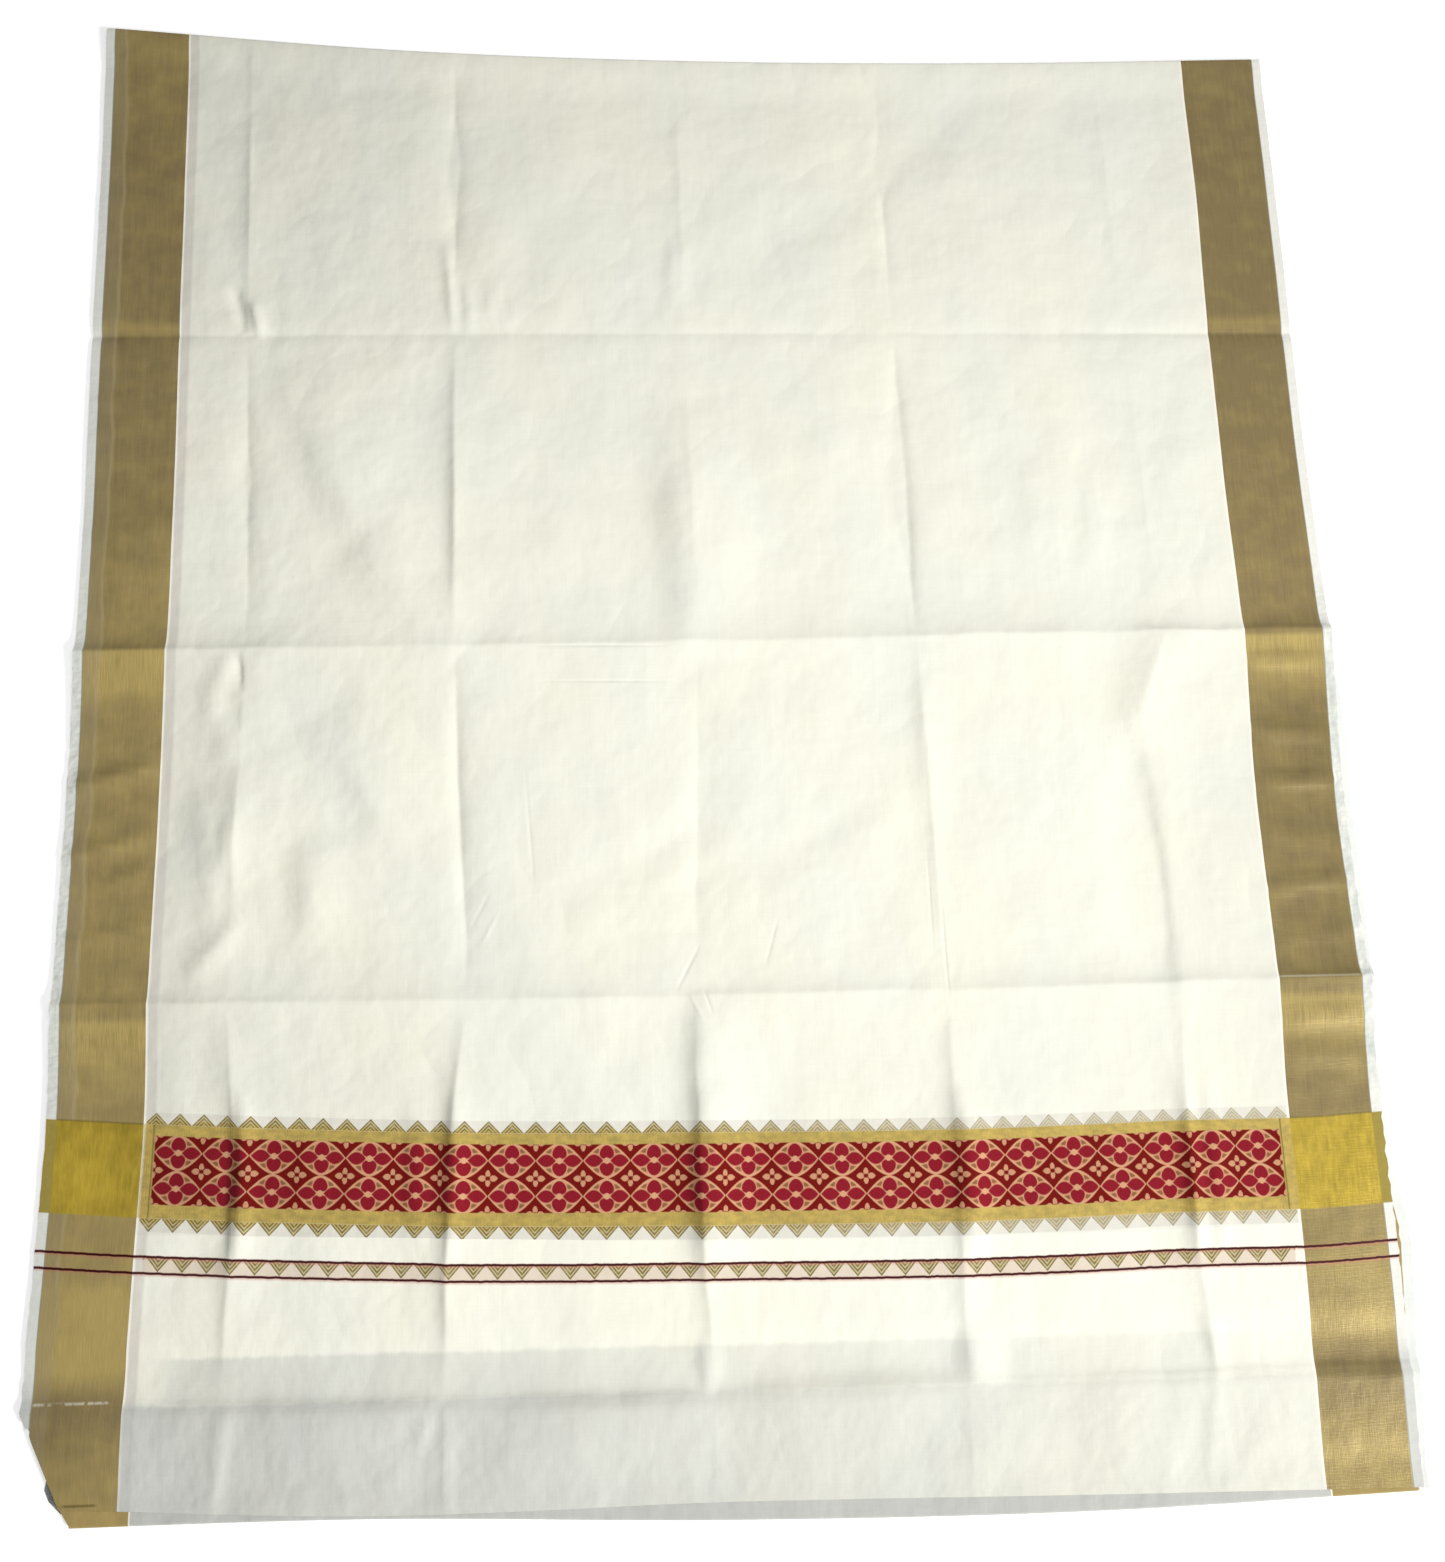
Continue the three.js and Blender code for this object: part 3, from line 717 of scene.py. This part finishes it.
class Num:
    """A number in a node tree, so that formulas read as plain arithmetic."""

    def __init__(self, tree, value):
        self.tree = tree
        self.value = value

    def math(self, operation, *others, clamp=False):
        node = self.tree.nodes.new("ShaderNodeMath")
        node.operation = operation
        node.use_clamp = clamp
        for socket, value in zip(node.inputs, (self, *others)):
            feed(socket, value)
        return Num(self.tree, node.outputs[0])

    def __add__(self, other):
        return self.math("ADD", other)

    def __sub__(self, other):
        return self.math("SUBTRACT", other)

    def __rsub__(self, other):
        return Num(self.tree, other).math("SUBTRACT", self)

    def __mul__(self, other):
        return self.math("MULTIPLY", other)

    __radd__ = __add__
    __rmul__ = __mul__

    def __truediv__(self, other):
        return self.math("DIVIDE", other)

    def __abs__(self):
        return self.math("ABSOLUTE")

    def max(self, other):
        return self.math("MAXIMUM", other)

    def ramp(self, low, high):
        """0 at low and 1 at high, clamped, and the other way round where low is the higher."""
        return ((self - low) / (high - low)).math("ADD", 0, clamp=True)

    def smooth(self, low, high):
        t = self.ramp(low, high)
        return t * t * (3 - 2 * t)

    def within(self, low, high, soft):
        """1 between low and high, with soft ends."""
        return self.ramp(low - soft, low + soft) * self.ramp(high + soft, high - soft)

    def repeat(self, pitch, offset):
        """Distance to the middle of the cell of a repeat that holds this place."""
        moved = self + (offset + pitch / 2)
        return moved - (moved / pitch).math("FLOOR") * pitch - pitch / 2

    def stepped(self, pitch):
        return ((self / pitch).math("FLOOR") + 0.5) * pitch


def feed(socket, value):
    """Links a node's output to a socket, or gives it a number or a colour."""
    if isinstance(value, Num):
        value = value.value
    if isinstance(value, bpy.types.NodeSocket):
        socket.id_data.links.new(value, socket)
    elif socket.type == "RGBA":
        socket.default_value = (*value, 1)
    else:
        socket.default_value = value


class Cloth:
    """Node tree of one material, with cloth coordinates in millimetres, and its colour so far."""

    def __init__(self, name, roughness, sheen=0.0, metallic=0.0, specular=0.3):
        self.material = bpy.data.materials.new(name)
        self.material.use_nodes = True
        self.tree = self.material.node_tree
        self.shader = self.tree.nodes["Principled BSDF"]
        set_inputs(self.shader, {
            "Roughness": roughness, "Metallic": metallic, "Specular IOR Level": specular,
            "Sheen Weight": sheen, "Sheen Roughness": 0.5,
        })
        place = self.node("UVMap")
        place.uv_map = "cloth"
        self.u, self.v = self.millimetres(place.outputs[0])
        self.x, y = self.millimetres(self.node("TexCoord").outputs["Object"])
        self.down = MIDDLE_DOWN - y
        self.colour = None

    def node(self, kind):
        return self.tree.nodes.new("ShaderNode" + kind)

    def millimetres(self, place):
        """First two parts of a place in metres."""
        split = self.node("SeparateXYZ")
        feed(split.inputs[0], place)
        return [Num(self.tree, split.outputs[i]) * 1000 for i in (0, 1)]

    def noise(self, u_size, v_size, detail, shift):
        """Noise from 0 to 1 whose grains are u_size by v_size millimetres."""
        join = self.node("CombineXYZ")
        feed(join.inputs[0], self.u / u_size)
        feed(join.inputs[1], self.v / v_size)
        join.inputs[2].default_value = shift
        node = self.node("TexNoise")
        set_inputs(node, {"Scale": 1, "Detail": detail})
        feed(node.inputs["Vector"], join.outputs[0])
        return Num(self.tree, node.outputs[0])

    def mix(self, share, first, second):
        """Colour between two colours."""
        node = self.node("Mix")
        node.data_type = "RGBA"
        for socket, value in zip((0, 6, 7), (share, first, second)):
            feed(node.inputs[socket], value)
        return node.outputs[2]

    def brighten(self, colour, factor):
        """Colour times a number."""
        node = self.node("VectorMath")
        node.operation = "SCALE"
        feed(node.inputs[0], colour)
        feed(node.inputs["Scale"], factor)
        return node.outputs[0]

    def paint(self, share, colour):
        """Lays a colour over the one so far."""
        self.colour = self.mix(share, self.colour, colour)

    def shade(self, factor):
        self.colour = self.brighten(self.colour, factor)

    def weave(self, pitch):
        """Height of a plain weave, from 0 to 1."""
        warp = (self.u * (math.pi / pitch)).math("SINE")
        weft = (self.v * (math.pi / pitch)).math("SINE")
        return (warp * warp + weft * weft) * 0.5

    def fine_creases(self):
        """Height of the fine creases, in millimetres."""
        height = Num(self.tree, 0.0)
        for *ends, depth, width in FINE_CREASES:
            along, away, _ = beside(self.x, self.down, *ends)
            along, away = along.ramp(0, 1), away / width
            line = (0 - away * away).math("EXPONENT")
            height = height - line * along * (1 - along) * (4 * depth)
        return height

    def clouds(self):
        """Height of the shallow crumple all over the cloth, in millimetres."""
        valleys = abs(self.noise(75, 95, 1, 51) - 0.5)
        stronger = 1 + self.x.ramp(-180, -300) * 0.3 + self.down.smooth(1260, 1290) * 0.5
        fine = self.noise(11, 13, 2, 23) * 0.28
        return (self.noise(38, 46, 2, 21) * 1.8 + fine) * stronger + valleys * 3

    def threads(self):
        """Height of the weave and of its slubs, in millimetres."""
        slubs = self.noise(0.8, 25, 1, 2) + self.noise(25, 0.8, 1, 4)
        return self.weave(0.9) * 0.06 + slubs * 0.05

    def shade_threads(self, strength):
        """Uneven brightness of single threads and of wide stripes of them."""
        warp = self.noise(0.9, 60, 1, 3) - 0.5
        weft = self.noise(60, 0.9, 1, 7) - 0.5
        wide = self.noise(3.5, 140, 1, 11) - 0.5
        self.shade(1 + (warp + weft + wide * 0.7) * strength)

    def finish(self, height):
        """The material, with its surface raised by a height in millimetres."""
        feed(self.shader.inputs["Base Color"], self.colour)
        bump = self.node("Bump")
        set_inputs(bump, {"Strength": 1, "Distance": MM})
        feed(bump.inputs["Height"], height)
        feed(self.shader.inputs["Normal"], bump.outputs[0])
        return self.material


IVORY = linear(241, 239, 222)
IVORY_COOL = linear(237, 237, 224)
SHOW_THROUGH = linear(212, 207, 196)
SELVEDGE_WHITE = linear(228, 230, 221)
CREAM = linear(250, 245, 232)
# Shaded and lit copies of the gold, mixed by painted sheen and shade
GOLD_SHADED = linear(152, 134, 92)
GOLD_LIT = linear(200, 177, 110)
GOLD_PALE = linear(176, 162, 126)
GOLD_BLOCK = linear(184, 158, 56)
STRIP_GOLD = linear(194, 168, 90)
STRIP_DULL = linear(168, 148, 82)
OLIVE = linear(112, 98, 50)
MAROON = linear(62, 4, 6)
MAROON_HALO = linear(208, 128, 116)
CRIMSON = linear(124, 12, 26)
CRIMSON_LIGHT = linear(152, 28, 44)
LATTICE = linear(116, 12, 6)
PINK = linear(214, 160, 122)
PINK_DEEP = linear(192, 132, 96)
KHAKI = linear(140, 96, 62)
TRIANGLE = linear(202, 188, 142)
TRIANGLE_GROUND = linear(222, 218, 206)
LINES_GROUND = linear(224, 206, 184)
END_GREY = linear(228, 231, 228)

# Places of the woven figures down the cloth, at the middle left where the bow is nothing
FAR_TIPS, FAR_STRIP, BROCADE_FROM = 1047, 1057, 1066
BROCADE_TO, NEAR_STRIP, NEAR_TIPS = 1121.6, 1132.5, 1143.5
LINE_1, LINE_2, LINE_HALF = 1163, 1176, 1
TONE_LINE, LOWER_TONE_LINE = 1231, 1262
BROCADE_HALF = 483.5
CELLS = 24
CELL = 2 * BROCADE_HALF / CELLS
CELL_ROW = 28.9
BROCADE_MIDDLE = (BROCADE_FROM + BROCADE_TO) / 2
TOOTH = CELL / 2


def cotton_ground(cloth):
    """Ivory cotton with painted shade near its left and right borders and towards its far left, and
    painted light in its middle, with cream threads beside the gold and the second stretch's gold
    seen through on the left."""
    u, x, down = cloth.u, cloth.x, cloth.down
    cloud = cloth.noise(120, 160, 3, 1)
    cloth.colour = cloth.mix(cloud.ramp(0.35, 0.65), IVORY, IVORY_COOL)
    # Painted shade near the borders and towards the far left, and painted light in the middle, on
    # one even ivory
    shade = x.ramp(-400, -470) * down.within(640, 1040, 70) * 0.06
    shade = shade + x.ramp(380, 470) * down.within(720, 1050, 90) * 0.04
    shade = shade + x.ramp(-180, -300) * down.ramp(420, 250) * 0.035
    shade = shade - x.within(-260, 90, 90) * down.within(650, 1225, 60) * 0.022
    cloth.shade(1 - shade)
    show = u.within(1.6 - FIELD_HALF, UNDER_SHIFT + 1 - FIELD_HALF, 1.2) * 0.75
    cloth.paint(show, SHOW_THROUGH)
    cloth.paint(u.ramp(1.9 - FIELD_HALF, 1.3 - FIELD_HALF), CREAM)
    cloth.paint(u.ramp(FIELD_HALF - 2.2, FIELD_HALF - 1.6), CREAM)


def end_tone(cloth):
    """Greyer cloth past the deepest fold, where fewer layers lie below. The end is painted lighter,
    and its grey is painted stronger and darker towards the left, as painted light and shade.
    """
    edge = cloth.down + (cloth.noise(14, 26, 3, 5) - 0.5) * 6 - cloth.x * 0.004
    fade = cloth.noise(70, 60, 1, 15) * 0.5 + 0.6
    upper = edge.smooth(TONE_LINE - 3, TONE_LINE + 2) * cloth.x.within(-456, 438, 12) * fade
    upper = upper * (1 - cloth.x.within(206, 234, 5) * 0.7) * 0.8
    share = upper.max(edge.smooth(LOWER_TONE_LINE, LOWER_TONE_LINE + 6))
    # Painted light and shade: the end is lighter by 7 %, and its grey stronger and darker to the
    # left
    left = cloth.u.ramp(560, -460)
    cloth.paint(share * left * 0.55, END_GREY)
    cloth.shade(1.07 - share * (left * 0.2 + 0.08))


def teeth(cloth, base, tip, offset=0):
    """1 inside a row of triangles that stand on base and point to tip, and the depth in them."""
    away = abs(cloth.u.repeat(TOOTH, offset))
    height = (cloth.v - base) / (tip - base)
    slope = 1 - away / (TOOTH / 2)
    inside = (slope - height).ramp(-0.04, 0.04) * height.ramp(-0.03, 0.03)
    return inside, slope - height


def tooth_colour(cloth, depth, fill):
    """Triangle of nested dark outlines, from the depth below its slanted sides."""
    line = abs(depth.repeat(0.31, -0.07)).ramp(0.12, 0.05)
    mark_weight = cloth.noise(5, 5, 1, 19).ramp(0.3, 0.55) * 0.4 + 0.55
    return cloth.mix(line * mark_weight, fill, OLIVE)


def weft_lines(cloth):
    """Two maroon lines right across the cloth, each with a paler halo."""
    v = cloth.v + (cloth.noise(7, 300, 2, 27) - 0.5) * 1.4
    for line in (LINE_1, LINE_2):
        halo = v.within(line - LINE_HALF, line + LINE_HALF + 1.2, 0.9)
        cloth.paint(halo * 0.5, MAROON_HALO)
        cloth.paint(v.within(line - LINE_HALF, line + LINE_HALF, 0.3), MAROON)


def teeth_row(cloth, base, tip, mark_weight):
    """Row of triangles beside the gold strips of the band, on a pale grey ground. Those on the
    right fade by a share."""
    u, v = cloth.u, cloth.v
    middle = abs(u).ramp(FIELD_HALF - 2, FIELD_HALF - 3)
    inside, depth = teeth(cloth, base, tip)
    ground = v.within(min(base, tip), max(base, tip), 0.4) * middle
    cloth.paint(ground * 0.7, TRIANGLE_GROUND)
    fill = cloth.mix(((v - base) / (tip - base)).ramp(0, 0.5), STRIP_GOLD, TRIANGLE)
    share = inside * middle * (1 - u.ramp(-60, 260) * mark_weight)
    cloth.paint(share, tooth_colour(cloth, depth, fill))


def cotton_field():
    cloth = Cloth("cotton_field", roughness=0.9, sheen=0.15)
    cotton_ground(cloth)
    cloth.shade_threads(0.05)
    return cloth.finish(cloth.threads() + cloth.clouds() + cloth.fine_creases())


def cotton_end():
    cloth = Cloth("cotton_end", roughness=0.9, sheen=0.15)
    cotton_ground(cloth)
    end_tone(cloth)
    middle = abs(cloth.u).ramp(BROCADE_HALF + 3, BROCADE_HALF + 2)
    inside, depth = teeth(cloth, LINE_1, LINE_2 - 1.2, TOOTH / 2)
    between_lines = cloth.v.within(LINE_1, LINE_2, 0.3) * middle
    cloth.paint(between_lines * 0.8, LINES_GROUND)
    cloth.paint(inside * between_lines, tooth_colour(cloth, depth, TRIANGLE))
    weft_lines(cloth)
    cloth.shade_threads(0.05)
    return cloth.finish(cloth.threads() + cloth.clouds())


def lens(x, y, wide, tall):
    """1 inside a shape pointed at both ends, wide and tall from its middle."""
    along = x / wide
    return (1 - along * along - abs(y) / tall).ramp(-0.1, 0.1)


def drop(x, y, wide, tall):
    """1 inside a petal that is blunt towards y = 0 and pointed at its far end."""
    across = abs(x) / (wide * (1 - (y / tall) * 0.22))
    return (1 - across.math("POWER", 2.2) - (abs(y) / tall).math("POWER", 2)).ramp(-0.1, 0.1)


def blob(x, y, wide, tall, soft):
    """1 inside an ellipse."""
    across = x / wide
    up = y / tall
    return (across * across + up * up).math("SQRT").ramp(1 + soft, 1 - soft)


def brocade(cloth):
    """Colour of the figured strip: four-petalled flowers in curved cells, small ones between."""
    thread = 0.6
    u = cloth.u.stepped(thread)
    v = cloth.v.stepped(thread) - BROCADE_MIDDLE
    x = abs(u.repeat(CELL, CELL / 2))
    y = abs(v.repeat(CELL_ROW, CELL_ROW / 2))
    far_x = CELL / 2 - x
    far_y = CELL_ROW / 2 - y
    # The cell's outline: its corners touch the next ones, and its sides are bowed outwards
    cell = (x / (CELL / 2)).math("POWER", 1.7) + y / (CELL_ROW / 2)
    colour = cloth.mix(cell.ramp(1.03, 0.98), LATTICE, PINK_DEEP)
    colour = cloth.mix(cell.within(0.86, 0.995, 0.02), colour, PINK)
    inside = cell.ramp(0.9, 0.85)
    colour = cloth.mix(blob(x - 9, y - 8, 2.6, 2.2, 0.15) * inside, colour, KHAKI)
    edges = lens(x - 11, y, 8.8, 6.2).max(drop(x, y - 6.9, 6.9, 6.6))
    colour = cloth.mix(edges * inside * 0.9, colour, PINK)
    petals = lens(x - 11, y, 8, 5.2).max(drop(x, y - 6.9, 6.1, 5.7))
    deep = cloth.mix(cloth.noise(1.4, 1.4, 1, 9), CRIMSON, CRIMSON_LIGHT)
    colour = cloth.mix(petals * cell.ramp(0.97, 0.93), colour, deep)
    colour = cloth.mix(lens(x, y, 3.2, 2.6), colour, PINK)
    small = lens(far_x - 4.6, far_y, 3.8, 2.5).max(drop(far_x, far_y - 3.9, 2, 2.8))
    colour = cloth.mix(small * 0.85, colour, PINK)
    colour = cloth.mix(blob(far_x, far_y, 2.1, 1.7, 0.2), colour, LATTICE)
    # Painted shade: the brocade is darker towards its left end
    return cloth.brighten(colour, 1 - cloth.u.ramp(-280, -440) * 0.13)


def brocade_band():
    cloth = Cloth("brocade_band", roughness=0.8, sheen=0.05, specular=0.12)
    u, v = cloth.u, cloth.v
    cotton_ground(cloth)
    teeth_row(cloth, FAR_STRIP, FAR_TIPS, mark_weight=0.45)
    teeth_row(cloth, NEAR_STRIP, NEAR_TIPS, mark_weight=0.3)
    strip = v.within(FAR_STRIP, NEAR_STRIP, 0.4)
    patch = cloth.noise(9, 5, 2, 14).ramp(0.35, 0.7)
    gold = cloth.mix(patch, STRIP_GOLD, STRIP_DULL)
    threads = (cloth.noise(0.7, 9, 2, 4) - 0.5) * 0.5
    # Painted light: the gold strips are lighter towards the right, over uneven threads
    gold = cloth.brighten(gold, 1 + threads + u.ramp(60, 300) * 0.1)
    pale = u.ramp(3 - FIELD_HALF, 1 - FIELD_HALF) * 0.5
    cloth.paint(strip * (1 - pale), gold)
    ends = abs(u).ramp(BROCADE_HALF + 0.4, BROCADE_HALF - 0.4)
    cloth.paint(v.within(BROCADE_FROM, BROCADE_TO, 0.4) * ends, brocade(cloth))
    fringe = abs(u).within(BROCADE_HALF + 0.8, BROCADE_HALF + 2, 0.5)
    cloth.paint(fringe * strip * 0.8, OLIVE)
    cloth.shade_threads(0.08)
    figured = v.within(FAR_STRIP, NEAR_STRIP, 1) * cloth.noise(1.2, 2.4, 2, 17) * 0.25
    return cloth.finish(cloth.threads() + cloth.clouds() + figured)


def painted_border_sheen(cloth):
    """Painted sheen and shade of the gold down the border: shaded as far as the second crease, with
    a painted highlight just past each crease after that."""
    down = cloth.down
    left = cloth.u.ramp(500, -500)
    tone = down.ramp(260, 0) * 0.08 + down.smooth(330, 600) * 0.12 + left * 0.14
    tone = tone + down.ramp(120, 20) * left * 0.2
    tone = tone + down.smooth(624, 630) * 0.75 - down.smooth(634, 700) * 0.6
    tone = tone + down.within(632, 672, 10) * left * 0.3 + down.within(303, 314, 5) * 0.4
    tone = tone + down.smooth(951, 961) * 0.5 - down.smooth(972, 1040) * 0.36
    tone = tone + down.within(530, 622, 30) * left * 0.22 - down.within(985, 1120, 16) * 0.14
    tone = tone + down.smooth(1145, 1190) * (left * 0.23 + 0.22)
    return tone - down.smooth(1232, 1264) * (left * 0.4 + 0.5) + down.smooth(1268, 1330) * 0.45


def zari_cloth():
    """Gold border of uneven metal threads with painted sheen and shade, and a yellower block
    beside the band.
    """
    cloth = Cloth("zari_border", roughness=0.46, metallic=0.32)
    u, v, down = cloth.u, cloth.v, cloth.down
    edge = LOOM_HALF - abs(u)
    left = u.ramp(10, -10)
    streaks, patches = cloth.noise(4, 70, 2, 6) - 0.5, cloth.noise(28, 22, 3, 8) - 0.5
    # Painted sheen and shade down the border, with random streaks and patches of the threads
    tone = painted_border_sheen(cloth) + (streaks * 0.4 + patches * 0.9)
    cloth.colour = cloth.mix(tone, GOLD_SHADED, GOLD_LIT)
    # Painted shade: the right border is darker past the second crease, less so just past the third
    near = down.smooth(640, 720) - down.within(946, 985, 12) * 0.6
    cloth.shade(1 - near * (1 - left) * 0.25)
    wavy = edge + (cloth.noise(400, 50, 1, 12) - 0.5) * 10
    cloth.paint(wavy.ramp(SELVEDGE + 14, SELVEDGE + 12) * left * 0.4, GOLD_PALE)
    line = wavy.within(SELVEDGE + 11, SELVEDGE + 14, 1.2) * left * down.ramp(1250, 1150)
    cloth.paint(line * 0.35, linear(206, 190, 142))
    streaks, patches = cloth.noise(3, 16, 3, 31) - 0.5, cloth.noise(14, 20, 2, 32) - 0.5
    # Painted shade on the left block at its far side and inner edge, and a painted highlight in its
    # lower middle
    shade = v.ramp(FAR_STRIP + 30, FAR_STRIP) * 0.16 + u.ramp(-524, -500) * 0.12
    bright = u.within(-556, -520, 12) * v.within(1092, 1122, 12) * 0.16
    tone = streaks * 0.6 + patches * 0.7 + left * (0.16 - shade + bright)
    block = v.within(FAR_STRIP, NEAR_STRIP, 0.5)
    cloth.paint(block, cloth.brighten(GOLD_BLOCK, 1 + tone))
    cloth.paint(v.within(FAR_STRIP - 0.8, FAR_STRIP + 0.8, 0.4) * 0.5, OLIVE)
    flecks = down.within(1259, 1261, 0.6) * cloth.noise(5, 9, 1, 33).ramp(0.36, 0.5)
    flecks = flecks * u.within(-566, -505, 2)
    flecks = flecks + down.within(939, 940.6, 0.5) * u.within(494, 566, 3) * 0.5
    cloth.paint(flecks, linear(222, 212, 186))
    hem = down.within(1335, 1337, 0.5) * cloth.x.within(-530, -504, 2)
    cloth.paint(hem * 0.7, OLIVE)
    weft_lines(cloth)
    hatched = down.within(628, 662, 8) + down.within(950, 985, 8)
    cloth.shade(1 + (cloth.noise(0.9, 26, 2, 2) - 0.5) * (hatched * 0.5 + 0.35))
    ribs = cloth.noise(0.7, 20, 1, 2) * 0.1 + cloth.noise(30, 1.2, 1, 9) * 0.1
    return cloth.finish(ribs + cloth.clouds() * 0.45 + cloth.weave(1) * 0.05)


def selvedge_cloth():
    """White selvedge, puckered and mottled between the second crease and the band."""
    cloth = Cloth("selvedge", roughness=0.9, sheen=0.15)
    u, v, down = cloth.u, cloth.v, cloth.down
    edge = LOOM_HALF - abs(u)
    left = u.ramp(10, -10)
    # Share of the grey mottling: strongest between the second crease and the band, weaker on the
    # left
    mark_weight = down.within(600, 1050, 40) * (1 - left * 0.6) + 0.2
    mottled = cloth.noise(8, 24, 2, 41).ramp(0.7, 0.3) * mark_weight
    cloth.colour = cloth.mix(left, linear(240, 239, 229), SELVEDGE_WHITE)
    cloth.paint(mottled, linear(208, 213, 206))
    cloth.paint(edge.ramp(7.8, 8.6), linear(150, 144, 126))
    cloth.paint(v.within(FAR_STRIP, NEAR_STRIP, 0.5), linear(160, 142, 66))
    cloth.paint(down.ramp(1240, 1262) * 0.5, linear(180, 184, 180))
    weft_lines(cloth)
    cloth.shade_threads(0.1)
    puckers = cloth.noise(9, 7, 1, 2) * (down.within(600, 1050, 60) * 0.9 + 0.4)
    return cloth.finish(cloth.threads() + puckers)


def under_cloth():
    """Second stretch: plain cotton with the same borders, placed by its own sides."""
    cloth = Cloth("under_stretch", roughness=0.85, sheen=0.1)
    cloth.colour = cloth.mix(cloth.v.ramp(1325, 1340), IVORY, linear(198, 199, 192))
    edge = LOOM_HALF - abs(cloth.u)
    # Painted shade: the second stretch's gold is the shaded copy, lighter towards the band and past
    # it
    gold = cloth.mix(cloth.v.ramp(1000, 1200), GOLD_SHADED, linear(170, 148, 92))
    cloth.paint(edge.within(SELVEDGE, INNER, 0.3), gold)
    cloth.paint(edge.ramp(SELVEDGE, SELVEDGE - 0.5), linear(236, 238, 232))
    cloth.paint(edge.within(INNER, INNER + 1.3, 0.3), CREAM)
    cloth.shade_threads(0.08)
    return cloth.finish(cloth.threads() + cloth.clouds())


def layers_cloth():
    cloth = Cloth("layers_below", roughness=0.95)
    # Painted shade: grey for the shade in the layered edge, where the cloth is ivory cotton
    cloth.colour = linear(206, 208, 202)
    cloth.shade_threads(0.12)
    return cloth.finish(cloth.threads() + cloth.clouds())


def floor():
    mesh = bpy.data.meshes.new("floor")
    corners = [(-1, -1), (1, -1), (1, 1), (-1, 1)]
    mesh.from_pydata([(FLOOR_HALF * x, FLOOR_HALF * y, 0) for x, y in corners], [], [(0, 1, 2, 3)])
    thing = new_object("floor", mesh)
    material = bpy.data.materials.new("floor")
    material.use_nodes = True
    set_inputs(material.node_tree.nodes["Principled BSDF"], {
        "Base Color": (0.86, 0.86, 0.86, 1), "Roughness": 1, "Specular IOR Level": 0,
        "Emission Color": (1, 1, 1, 1), "Emission Strength": 0.5,
    })
    mesh.materials.append(material)
    thing.location.z = -FLOOR_CLEAR


def area_light(name, place, size, power, aim=(0, 0, 0)):
    data = bpy.data.lights.new(name, "AREA")
    data.shape = "DISK"
    data.size = size
    data.energy = power
    light = new_object(name, data)
    away = np.array(place) - np.array(aim)
    light.location = place
    light.rotation_euler = (
        math.atan2(math.hypot(away[0], away[1]), away[2]),
        0,
        math.atan2(away[1], away[0]) + math.pi / 2,
    )


def lights():
    area_light("key", KEY_PLACE, KEY_SIZE, KEY_POWER)
    area_light("overhead", OVERHEAD_PLACE, OVERHEAD_SIZE, OVERHEAD_POWER, OVERHEAD_AIM)
    world = bpy.data.worlds.new("studio")
    bpy.context.scene.world = world
    world.use_nodes = True
    background = world.node_tree.nodes["Background"]
    set_inputs(background, {"Color": (0.985, 0.99, 1, 1), "Strength": FILL})
    bpy.context.scene.view_settings.view_transform = "Standard"


def camera():
    data = bpy.data.cameras.new("camera")
    data.sensor_width = SENSOR
    data.lens = FOCAL_SHARE * SENSOR
    thing = new_object("camera", data)
    thing.location = CAMERA_PLACE
    thing.rotation_euler = [math.radians(turn) for turn in CAMERA_TURN]
    bpy.context.scene.camera = thing


def saree():
    top = top_surface()
    row = {"start": 0, **top.first_row}
    column = top.first_column
    zari, selvedge = zari_cloth(), selvedge_cloth()
    width = 2 * FIELD_HALF * MM
    # Name, far and near line, left and right line, node, slot, material, and flat size
    pieces = (
        ("field_cloth", "start", "band_far", "left_field", "right_field",
         "body_field", "cotton", cotton_field(), (width, 1.035)),
        ("band_cloth", "band_far", "band_near", "left_field", "right_field",
         "pallu_band", "brocade", brocade_band(), (width, 0.1)),
        ("end_cloth", "band_near", "top_end", "left_field", "right_field",
         "pallu_end", "cotton", cotton_end(), (width, 0.206)),
        ("zari_cloth_left", "start", "top_end", "left_zari", "left_field",
         "zari_border_left", "zari", zari, (ZARI * MM, 1.36)),
        ("zari_cloth_right", "start", "top_end", "right_field", "right_zari",
         "zari_border_right", "zari", zari, (ZARI * MM, 1.36)),
        ("selvedge_cloth_left", "start", "cut_end", "left", "left_zari",
         "selvedge_left", "selvedge", selvedge, (0.01, 1.29)),
        ("selvedge_cloth_right", "start", "top_end", "right_zari", "right",
         "selvedge_right", "selvedge", selvedge, (0.01, 1.36)),
    )
    for name, far, near, left, right, node, slot, material, flat in pieces:
        # The flat sides of a sheet are 10 mm or more, and the selvedge is narrower
        area = SELVEDGE * MM * flat[1] if slot == "selvedge" else None
        cloth_piece(name, top, (row[far], row[near] + 1), (column[left], column[right] + 1),
                    node, material)
    under = under_surface()
    cloth_piece("second_stretch", under, (0, len(under.at)), (0, under.at.shape[1]),
                "under_stretch", under_cloth())
    hidden_layers(layers_cloth())


camera()
lights()
floor()
saree()
